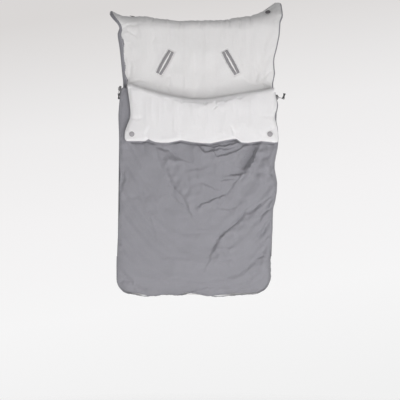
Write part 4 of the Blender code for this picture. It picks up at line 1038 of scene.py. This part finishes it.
SLOTS = (
    ("shoulder_welt_left", -0.094, -0.0905, 0.072, math.radians(29)),
    ("shoulder_welt_right", 0.094, -0.0905, 0.072, -math.radians(29)),
    ("waist_welt_left", -0.090, -0.345, 0.046, 0.0),
    ("waist_welt_right", 0.090, -0.345, 0.046, 0.0),
    ("crotch_welt", 0.0, -0.445, 0.060, math.pi / 2),
)
SLIT_HALF = 0.00325
WELT_WEB = 0.0008
WELT_REACH = 0.0086
WELT_BOW = 0.0017
WELT_FRONT = -0.0028
WELT_STEPS = 44
OUTLINE_MARGIN = 0.0040
OUTLINE_STEPS = 72
FLAT_WIDTH = 0.443
STRIP_WIDTH = 0.0118
FOLDED_STRIP = 0.0075
SWELL = 0.0178
PANEL_SEAM = {"left": 0.0110, "right": 0.0070, "foot": 0.0070, "head": 0.0060}
FRONT_SEAM_LOW = -0.205


def half_width(side, z):
    head, waist, mouth, foot = HALF_WIDTH[side]
    upper = lerp(waist, head, ramp(z, WAIST_Z, 0.0))
    middle = lerp(mouth, waist, ramp(z, MOUTH_Z, WAIST_Z))
    lower = lerp(mouth, foot, (MOUTH_Z - z) / (MOUTH_Z - FOOT_Z))
    return np.where(z >= WAIST_Z, upper, np.where(z >= MOUTH_Z, middle, lower))


def edge_x(side, z):
    inset = np.where(z < 0.0, corner_inset(z - FOOT_Z, PANEL_CORNER), 0.0)
    return SIGN[side] * (half_width(side, z) - inset)


def off_middle(x):
    """0 at the middle of the head fold, where the panel is pulled tight, and 1 towards its sides."""
    return ramp(np.abs(x), 0.055, 0.140)


def fold_radius(x):
    slack = FOLD_RADIUS + 0.008 * off_middle(x)
    radius = slack
    for side, ear in EAR.items():
        opening = np.clip((np.abs(x) - ear.head + ear.width) / ear.width, 0.0, 1.0) ** ear.bend
        opening = opening if side == "right" else ramp(opening, 0.0, 1.0)
        radius = np.where(x * SIGN[side] > 0.0, lerp(slack, ear.radius, opening), radius)
    return radius


def back_point(x, s, depth, seen_x):
    """Place on the back panel: x picks its fold, s runs up it from the fold's axis, depth goes forward."""
    low = np.stack(np.broadcast_arrays(seen_x, BACK_REAR - depth, s), axis=-1)
    radius = fold_radius(x)
    up = np.maximum(s, 0.0)
    turn = np.minimum(up / radius, math.pi)
    straight = up - turn * radius
    y = BACK_REAR + radius * (1.0 - np.cos(turn)) - depth * np.cos(turn)
    z = radius * np.sin(turn) + depth * np.sin(turn) - straight
    high = np.stack(np.broadcast_arrays(seen_x, y, z), axis=-1)
    return np.where((s > 0.0)[..., None], high, low)


def panel_edges(s):
    """Left and right ends of the panel's rows: the photograph's above the mouth, the frame's below."""
    found = []
    for side, curve in (("left", back_left), ("right", back_right)):
        radius = EAR[side].radius
        turn = np.minimum(np.maximum(s, 0.0) / radius, math.pi / 2)
        seen = np.where(s > 0.0, (radius + 0.006) * np.sin(turn), s)
        upper = curve(seen) - SIGN[side] * corner_inset(HEAD_LENGTH - s, HEAD_CORNER)
        found.append(lerp(edge_x(side, np.minimum(s, 0.0)), upper, ramp(s, -0.215, -0.165)))
    return found


def mouth_swell(x, z):
    """How far the lining swells forward towards the fold of the mouth, most at the middle and right."""
    strength = 0.60 + 0.40 * hump(x - px_x(236.0), 0.155)
    strength = strength * ramp(np.minimum(x - px_x(124.0), px_x(275.0) - x), 0.0, 0.030)
    above = z - mouth_line(x) + 0.012
    return SWELL * strength * hump(above, np.where(above > 0.0, 0.028, 0.034))


def panel_thickness(x, s):
    """Thickness of the panel, pressed thinner where its weight bears on the head fold."""
    on_fold = ramp(s, -0.075, 0.010) * (1.0 - ramp(s, math.pi * FOLD_RADIUS - 0.030, HEAD_LENGTH))
    return PANEL - 0.0042 * on_fold * (1.0 - off_middle(x))


def slot_relief(x, s):
    """Calm round the harness slots, from 0 to 1, and the groove that their stitched outline draws."""
    calm, groove = np.ones(x.shape), np.zeros(x.shape)
    for _, slot_x, slot_z, length, tilt in SLOTS:
        run = (x - slot_x) * math.sin(tilt) + (s - slot_z) * math.cos(tilt)
        off = (x - slot_x) * math.cos(tilt) - (s - slot_z) * math.sin(tilt)
        box = np.maximum(np.abs(run) - length / 2 - 0.0038, np.abs(off) - 0.0118)
        calm *= ramp(box, -0.002, 0.020)
        groove -= 0.0009 * hump(box, 0.0014)
        groove += 0.0009 * hump(box - 0.0034, 0.0020)
    return calm, groove


def panel_grid():
    """Steps across the flat panel, and steps up it from the foot, over the fold, to the head end's edge."""
    across = np.concatenate([np.arange(11) * 0.0015, np.linspace(0.018, 0.425, 148)])
    across = np.concatenate([across, FLAT_WIDTH - np.array([0.013, 0.009, 0.006, 0.0035, 0.0015, 0.0])])
    foot = FOOT_Z + PANEL_CORNER * (1.0 - np.cos(np.linspace(0.0, math.pi / 2, 9)))
    body = np.linspace(foot[-1], -0.225, 46)[1:]
    upper = np.linspace(-0.225, 0.0, 84)[1:]
    fold = np.linspace(0.0, HEAD_LENGTH - HEAD_CORNER, 44)[1:]
    tips = HEAD_LENGTH - HEAD_CORNER * (1.0 - np.cos(np.linspace(math.pi / 2, 0.0, 8)[1:]))
    return across, np.concatenate([foot, body, upper, fold, tips])


def panel_sheets(across, rows):
    """Front and rear sheets of the back panel, and for each point the x that picks its fold."""
    t, s = np.meshgrid(across / FLAT_WIDTH, rows)
    fold_x = lerp(edge_x("left", np.minimum(s, 0.0)), edge_x("right", np.minimum(s, 0.0)), t)
    left, right = panel_edges(s)
    x = lerp(left, right, t)
    rim = np.minimum(x - left, right - x)
    seam = ramp(rim, 0.0, 0.012)
    thick = panel_thickness(fold_x, s)
    sink = side_round(x - left, 0.0085, 0.0062) + side_round(right - x, 0.006, 0.0050)
    end_sink = side_round(HEAD_LENGTH - s, 0.010, 0.0045) + side_round(s - FOOT_Z, 0.010, 0.0030)
    z_seen = np.where(s > 0.0, back_point(fold_x, s, thick, fold_x)[..., 2], s)
    visible = ramp(s, -0.30, -0.20)
    detail = creases(x, z_seen, LINING_CREASES) * visible
    for path in TOP_CREASES:
        detail += crease_height(x, z_seen, *TOP_CREASE, path) * ramp(s, -0.03, 0.0)
    soft = 0.0009 * undulation(x, z_seen, 0.090, 11) + 0.0003 * undulation(x, z_seen, 0.034, 12)
    soft = soft + RELIEF["back"](x, np.minimum(s, 0.045))
    detail += soft * seam * lerp(0.35, 1.0, visible)
    calm, groove = slot_relief(x, s)
    detail = detail * calm + groove
    detail += 0.0007 * undulation(x * 0.5, z_seen, 0.013, 13) * (1.0 - seam)
    # The seam between the side strip of shell cloth and the lining
    detail -= 0.0012 * hump(x - left - 0.0122, 0.0014) * ramp(-s, -0.010, 0.010)
    crown = 0.0012 * ramp(rim, 0.0, 0.05)
    front_depth = thick - sink - end_sink + (detail + crown) * lerp(0.6, 1.0, ramp(np.abs(s), 0.0, 0.020))
    front_depth = np.maximum(front_depth, 0.0012)
    # A pinch below the left ear, where the panel leaves the fold
    pinch = np.exp(-(((x + 0.216) / 0.016) ** 2) - (((z_seen - 0.006) / 0.014) ** 2))
    front_depth -= 0.0030 * pinch * np.minimum(front_depth / thick, 1.0)
    front_depth += mouth_swell(x, s)
    rear_depth = 0.00040 * undulation(x, s, 0.070, 14) + 0.30 * RELIEF["back"](x, s)
    rear_depth = rear_depth * seam * ramp(-s, 0.0, 0.03) * calm
    rear_depth = np.minimum(rear_depth + 0.0009 * (1.0 - seam), front_depth - 0.0008)
    return back_point(fold_x, s, front_depth, x), back_point(fold_x, s, rear_depth, x), fold_x


def panel_slots(across, rows):
    """Material round each loop: lining in front, shell behind, at the right edge and in the left strip."""
    count = len(across)
    slots = np.zeros((len(rows) - 1, 2 * count), int)
    slots[:, count - 3 :] = 1
    width = STRIP_WIDTH + 0.0018 * undulation(rows, rows * 0.0, 0.040, 15)
    width = lerp(FOLDED_STRIP, width, ramp(-rows, -0.010, 0.010))
    slots[:, : count - 1][across[None, : count - 1] + 0.0007 < width[:-1, None]] = 1
    return slots


def make_back_panel():
    across, rows = panel_grid()
    front, rear, fold_x = panel_sheets(across, rows)
    slots = panel_slots(across, rows)
    panel = grid_mesh("back_panel", front, rear, slots, [LINING_CLOTH, SHELL_CLOTH, WELT_TAPE])
    cut_slots(panel)
    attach(panel, "back")
    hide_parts("back_shell", "back_wadding", "back_lining", "back_border_left", "back_border_right")
    # The front's normals follow the head fold, where the sheet turns over
    turn = np.minimum(np.maximum(rows, 0.0)[:, None] / fold_radius(fold_x), math.pi)
    out = np.stack([np.zeros(turn.shape), -np.cos(turn), np.sin(turn)], axis=-1)
    normals = np.where((rows > 0.0)[:, None, None], out, grid_normals(front))
    inside = grid_normals(rear)
    left, right = nearest(across, PANEL_SEAM["left"]), nearest(across, FLAT_WIDTH - PANEL_SEAM["right"])
    heights = (FOOT_Z + PANEL_SEAM["foot"], FRONT_SEAM_LOW, HEAD_LENGTH - PANEL_SEAM["head"])
    low, start, end = (nearest(rows, height) for height in heights)
    path = frame_path(end, start, left, right)[:-1]
    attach(sew("panel_front_stitches", front, path, PALE_THREAD, normals), "back")
    path = frame_path(low, end, left, right) + [(end, column) for column in range(right, left - 1, -1)]
    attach(sew("panel_rear_stitches", rear, path, GREY_THREAD, -inside), "back")


def slot_matrix(x, z, tilt):
    return Matrix.Translation((x, BACK_FRONT, z)) @ Matrix.Rotation(tilt, 4, "Y")


def box_mesh(name, low, high, matrix):
    bm = bmesh.new()
    bmesh.ops.create_cube(bm, size=1.0)
    size, centre = Vector(high) - Vector(low), (Vector(high) + Vector(low)) / 2
    bm.transform(matrix @ Matrix.Translation(centre) @ Matrix.Diagonal((*size, 1.0)))
    mesh = bpy.data.meshes.new(name)
    bm.to_mesh(mesh)
    bm.free()
    return mesh


def cut_slots(panel):
    """Cuts the harness slots through the panel, their walls in welt tape."""
    half = SLIT_HALF + WELT_WEB + 0.0003
    for name, x, z, length, tilt in SLOTS:
        low, high = (-half, -PANEL, -length / 2), (half, 2.0 * PANEL, length / 2)
        mesh = box_mesh(f"cut_{name}", low, high, slot_matrix(x, z, tilt))
        cutter = add_piece(f"cut_{name}", mesh, [WELT_TAPE])
        modifier = panel.modifiers.new(name, "BOOLEAN")
        modifier.operation = "DIFFERENCE"
        modifier.solver = "EXACT"
        modifier.object = cutter
        apply_modifiers(panel)
        bpy.data.objects.remove(cutter)
    panel.data.shade_smooth()
    panel.data.set_sharp_from_angle(angle=math.radians(75))


def welt_profile(share, along, length, sign):
    """Section of a welt, as points across and deep: lip at the slit, front, and flange behind."""
    bow = math.sin(math.pi * share)
    sway = 0.00018 * math.sin(along * 420.0 + sign)
    lip = 0.00045 + 0.00165 * bow + sway
    flange = WELT_REACH + WELT_BOW * bow + sway
    front = WELT_FRONT + 0.0006 * math.exp(-min(share, 1.0 - share) * length / 0.0012)
    web, back = SLIT_HALF + WELT_WEB, PANEL + SKIN
    return (
        (SLIT_HALF, back), (SLIT_HALF, 0.0030), (lip + 0.0004, front + 0.0011), (lip, front + 0.0005),
        (lip + 0.0004, front), (lerp(lip, flange, 0.5), front - 0.0004), (flange - 0.0005, front),
        (flange, front + 0.0008), (flange - 0.0002, 0.0006), (web, 0.0006), (web, PANEL + 0.0001),
        (SLIT_HALF + 0.0046, PANEL + 0.0001), (SLIT_HALF + 0.0048, back - 0.0003),
        (SLIT_HALF + 0.0044, back),
    )


def make_welts():
    """Two bowed strips for each slot, closed at the ends and flanged behind, and a stitched outline."""
    for name, x, z, length, tilt in SLOTS:
        matrix = slot_matrix(x, z, tilt)
        for sign, word in ((-1.0, "a"), (1.0, "b")):
            loops = []
            for share in np.linspace(0.0, 1.0, WELT_STEPS):
                along = lerp(-length / 2 - 0.0012, length / 2 + 0.0012, share)
                profile = welt_profile(share, along, length, sign)
                loops.append([tuple(matrix @ Vector((sign * a, y, along))) for a, y in profile])
            strip = tube_mesh(f"{name}_strip_{word}", np.array(loops), 0, [WELT_TAPE])
            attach(strip, "back")
            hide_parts(f"{name}_{word}")
        path = []
        ends = length / 2 + OUTLINE_MARGIN
        for turn in np.linspace(0.0, math.tau, OUTLINE_STEPS):
            across, along = math.cos(turn), math.sin(turn)
            size = max(abs(across), abs(along))
            along = along / size * ends
            wide = WELT_REACH + 0.0026 + WELT_BOW * math.cos(0.5 * math.pi * along / ends)
            path.append(matrix @ Vector((across / size * wide, 0.0, along)))
        path, normals = settle(path), [(0.0, -1.0, 0.0)] * len(path)
        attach(stitches(f"{name}_stitches", path, normals, SLOT_THREAD), "back")


def settle(points):
    """Points moved rearward on to the first surface that they meet."""
    graph = bpy.context.evaluated_depsgraph_get()
    graph.update()
    push, reach = Vector((0.0, 1.0, 0.0)), 0.010
    found = []
    for point in points:
        start = Vector(point) - push * reach
        hit, place, *_ = bpy.context.scene.ray_cast(graph, start, push, distance=2.0 * reach)
        found.append(tuple(place) if hit else tuple(point))
    return found


# Hardware

STUD_RADIUS = 0.0075
GRIP_FULLNESS = {"left": 1.6, "right": 2.1}
FINISHES = {
    "zip_half": ZIP_CHAIN, "zip_stop": ZIP_METAL, "slider": ZIP_METAL, "pull_link": ZIP_METAL,
    "pull_grip": GRIP_PLASTIC, "ear_stud_socket": STUD_STEEL, "flap_stud_socket": STUD_STEEL,
    "cover_stud": STUD_STEEL, "anti_slip_panel": DOTTED_CLOTH, "fixing_band": ELASTIC,
}


def node_points(name):
    return np.array([v.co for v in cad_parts[name].data.vertices])


def thin_axis(points):
    """Direction in which points spread least."""
    return np.linalg.eigh(np.cov(points.T))[1][:, 0]


def stud_matrix(cap, socket):
    """Frame of a press stud, its Z out of the cloth: from the flat ring behind and the cap in front."""
    ring, head = node_points(socket), node_points(cap)
    centre = ring.mean(0)
    axis = thin_axis(ring - centre)
    if axis @ (head.mean(0) - centre) < 0.0:
        axis = -axis
    top = ((head - centre) @ axis).max()
    turn = Vector((0.0, 0.0, 1.0)).rotation_difference(Vector(axis)).to_matrix().to_4x4()
    return Matrix.Translation(Vector(centre + axis * top)) @ turn


def make_studs():
    """Press-stud caps with a rolled rim round a shallow dish."""
    edge = STUD_RADIUS
    profile = (
        (0.0016, -0.0046), (0.0016, -0.0017), (edge - 0.0006, -0.0017), (edge, -0.0013), (edge, -0.0007),
        (edge - 0.0005, -0.0002), (edge - 0.0012, 0.0), (edge - 0.0019, -0.0001), (edge - 0.0023, -0.0004),
        (edge - 0.0030, -0.0003), (edge * 0.35, 0.0001), (0.0004, 0.0002),
    )
    # The ear studs take the darker copy of the lacquer, which is painted shade; the flap studs take the
    # plain one
    for place, body, finish in (("ear", "back", EAR_STUD_SHADED_LACQUER), ("flap", "flap", STUD_LACQUER)):
        for side in SIDES:
            cap = f"{place}_stud_cap_{side}"
            matrix = stud_matrix(cap, f"{place}_stud_socket_{side}")
            stud = lathe(f"{place}_stud_{side}", profile, matrix, finish)
            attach(stud, body)
            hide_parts(cap)


def make_grips():
    """Moulded grips of the pulls, fuller than the frame's slim ones and rounded all round."""
    for side in SIDES:
        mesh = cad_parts[f"pull_grip_{side}"].data.copy()
        places = node_points(f"pull_grip_{side}")
        centre = (places.max(0) + places.min(0)) / 2
        flat = (places - centre)[:, [0, 2]]
        thin = thin_axis(flat)
        moved = flat + (flat @ thin)[:, None] * thin * (GRIP_FULLNESS[side] - 1.0)
        places[:, [0, 2]] = moved + centre[[0, 2]]
        mesh.vertices.foreach_set("co", places.astype(np.float32).ravel())
        mesh.materials.clear()
        grip = add_piece(f"zip_grip_{side}", mesh, [GRIP_PLASTIC])
        bevel = grip.modifiers.new("soft_edges", "BEVEL")
        bevel.width = 0.0006
        bevel.segments = 3
        bevel.limit_method = "ANGLE"
        bevel.angle_limit = math.radians(32)
        apply_modifiers(grip)
        grip.data.shade_smooth()
        grip.data.set_sharp_from_angle(angle=math.radians(40))
        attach(grip, f"pull_{side}")
        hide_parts(f"pull_grip_{side}")


def sew_rear_pieces():
    """Stitches round the dotted panel, and a box with a diagonal at each end of the elastic band."""
    for node, inset in (("anti_slip_panel", 0.0045), ("fixing_band", 0.0040)):
        points = node_points(node)
        low, high = points.min(0), points.max(0)
        left, right, bottom, top = low[0] + inset, high[0] - inset, low[2] + inset, high[2] - inset
        if node == "anti_slip_panel":
            cut = 0.018
            loops = [[
                (left + cut, bottom), (right - cut, bottom), (right, bottom + cut), (right, top - cut),
                (right - cut, top), (left + cut, top), (left, top - cut), (left, bottom + cut),
                (left + cut, bottom),
            ]]
        else:
            box = 0.022
            loops = [[(a, bottom), (b, bottom), (b, top), (a, top), (a, bottom), (b, top)]
                     for a, b in ((left, left + box), (right - box, right))]
        for index, loop in enumerate(loops):
            path = [(x, high[1], z) for x, z in loop]
            normals = [(0.0, 1.0, 0.0)] * len(path)
            line = stitches(f"{node}_stitches_{index}", path, normals, GREY_THREAD)
            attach(line, "back")


def dress_nodes():
    """Materials of the pieces of the frame that stay."""
    for name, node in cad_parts.items():
        for start, material in FINISHES.items():
            if name.startswith(start):
                node.data.materials.clear()
                node.data.materials.append(material)


# Room, light and camera

WORLD_LIGHT = 0.25
# Painted shade on the backdrop: the tones that the camera sees behind the object, greyer towards the top
BACKDROP_PAINTED_SHADE_TONES = (
    (0.10, (0.880, 0.880, 0.880)), (0.31, (0.921, 0.917, 0.919)), (0.50, (0.896, 0.886, 0.888)),
    (0.66, (0.850, 0.838, 0.838)), (0.74, (0.800, 0.787, 0.785)), (0.88, (0.700, 0.680, 0.672)),
)
FLOOR_TONE = (0.880, 0.880, 0.880)
FLOOR_GLOW = 0.80
FLOOR_SOLID = 0.45
FLOOR_RADIUS = 1.35
FLOOR_Z = -1.16
FLOOR_SIDES = 96
FLOOR_RINGS = 8
FOCUS = Vector((0.0060, -0.050, -0.4830))
DISTANCE = 6.0
FRAME_WIDTH = 1.140
SENSOR = 36.0
# Each lamp's place, what it points at, its width and height, and its power
LAMPS = {
    "floor_bounce": ((0.25, -1.20, -1.08), (0.05, 0.05, -0.25), (2.8, 1.2), 23.0),
    "key": ((1.7, -2.6, -0.60), (0.0, 0.0, -0.35), (1.2, 1.0), 22.0),
    "fill": ((-1.5, -2.8, -0.2), (0.0, 0.0, -0.40), (1.4, 1.6), 13.5),
    "overhead": ((0.10, -0.30, 1.50), (0.03, -0.05, 0.0), (1.6, 0.6), 2.4),
    "rear_left": ((-1.9, 2.4, 0.5), (0.0, 0.0, -0.40), (1.2, 1.4), 22.0),
    "rear_right": ((1.9, 2.2, -0.2), (0.0, 0.0, -0.40), (1.2, 1.4), 16.0),
}


def seen_directly(n):
    """1 for rays that show a surface as it is, 0 for those that only light others."""
    path = n.add("ShaderNodeLightPath").outputs
    seen = n.math("MAXIMUM", path["Is Camera Ray"], path["Is Glossy Ray"])
    return n.math("MAXIMUM", seen, path["Is Transmission Ray"])


def make_world():
    """Studio light from all round, and the pale tone that the camera sees behind the object.

    That tone carries painted shade: it is greyer towards the top, and palest a little below the middle.
    """
    world = bpy.data.worlds.new("studio")
    n = Nodes(world)
    light = n.tree.nodes["Background"]
    light.inputs["Color"].default_value = (0.985, 0.99, 1.0, 1.0)
    light.inputs["Strength"].default_value = WORLD_LIGHT
    across, _, up = n.axes("Generated")
    share = n.plus(n.times(n.plus(up, n.times(across, -0.14)), 4.0), 0.5, True)
    seen = n.add("ShaderNodeBackground")
    n.feed(seen.inputs["Color"], n.colours(share, BACKDROP_PAINTED_SHADE_TONES))
    mixed = n.mix_shaders(seen_directly(n), light.outputs[0], seen.outputs[0])
    n.feed(n.tree.nodes["World Output"].inputs["Surface"], mixed)
    bpy.context.scene.world = world


def make_floor():
    """Pale round floor under the hanging muff, in the tone of the studio, which keeps a soft shadow."""
    n = new_material("pale_floor")
    n.finish(n.mix(n.noise(2.2, 2.0, 0.5), (0.84, 0.835, 0.83), (0.90, 0.895, 0.89)), 0.9)
    glow = n.add("ShaderNodeEmission")
    n.feed(glow.inputs["Color"], FLOOR_TONE)
    lit = n.mix_shaders(n.times(seen_directly(n), FLOOR_GLOW), n.shader.outputs[0], glow.outputs[0])
    x, y, _ = n.axes()
    reach = n.math("SQRT", n.plus(n.math("POWER", x, 2.0), n.math("POWER", y, 2.0)))
    gone = n.math("DIVIDE", n.minus(reach, FLOOR_SOLID), FLOOR_RADIUS - FLOOR_SOLID, True)
    faded = n.mix_shaders(gone, lit, n.add("ShaderNodeBsdfTransparent").outputs[0])
    n.feed(n.tree.nodes["Material Output"].inputs["Surface"], faded)
    turns = np.arange(FLOOR_SIDES) * math.tau / FLOOR_SIDES
    circle = np.stack([np.cos(turns), np.sin(turns), np.zeros(FLOOR_SIDES)], axis=-1)
    radii = np.linspace(0.0, FLOOR_RADIUS, FLOOR_RINGS + 1)[1:]
    verts = np.concatenate([np.zeros((1, 3))] + [radius * circle for radius in radii])
    faces = [(0, 1 + k, 1 + (k + 1) % FLOOR_SIDES) for k in range(FLOOR_SIDES)]
    for low in range(1, len(verts) - FLOOR_SIDES, FLOOR_SIDES):
        faces += ring_faces(low + FLOOR_SIDES, low, FLOOR_SIDES)
    mesh = plain_mesh("floor", verts + (0.0, 0.0, FLOOR_Z), faces)
    add_piece("floor", mesh, [n.owner])


def make_lights():
    for name, (place, target, size, power) in LAMPS.items():
        light = bpy.data.lights.new(name, "AREA")
        light.shape = "RECTANGLE"
        light.size, light.size_y = size
        light.energy = power
        lamp = bpy.data.objects.new(name, light)
        bpy.context.scene.collection.objects.link(lamp)
        lamp.location = place
        lamp.rotation_mode = "QUATERNION"
        lamp.rotation_quaternion = (Vector(target) - Vector(place)).to_track_quat("-Z", "Y")
    bpy.context.scene.view_settings.view_transform = "Standard"


def make_camera():
    camera = bpy.data.objects.new("camera", bpy.data.cameras.new("camera"))
    bpy.context.scene.collection.objects.link(camera)
    camera.data.sensor_width = SENSOR
    camera.data.lens = SENSOR * DISTANCE / FRAME_WIDTH
    camera.location = FOCUS + Vector((0.0, -DISTANCE, 0.0))
    camera.rotation_euler = (math.pi / 2, 0.0, 0.0)
    camera.data.clip_end = 50.0
    bpy.context.scene.camera = camera


for step in (
    settle_cloth, dress_nodes, make_back_panel, make_cover, make_foot_wall, make_flap, make_welts,
    make_studs, make_grips, sew_rear_pieces, make_floor, make_world, make_lights, make_camera,
):
    step()
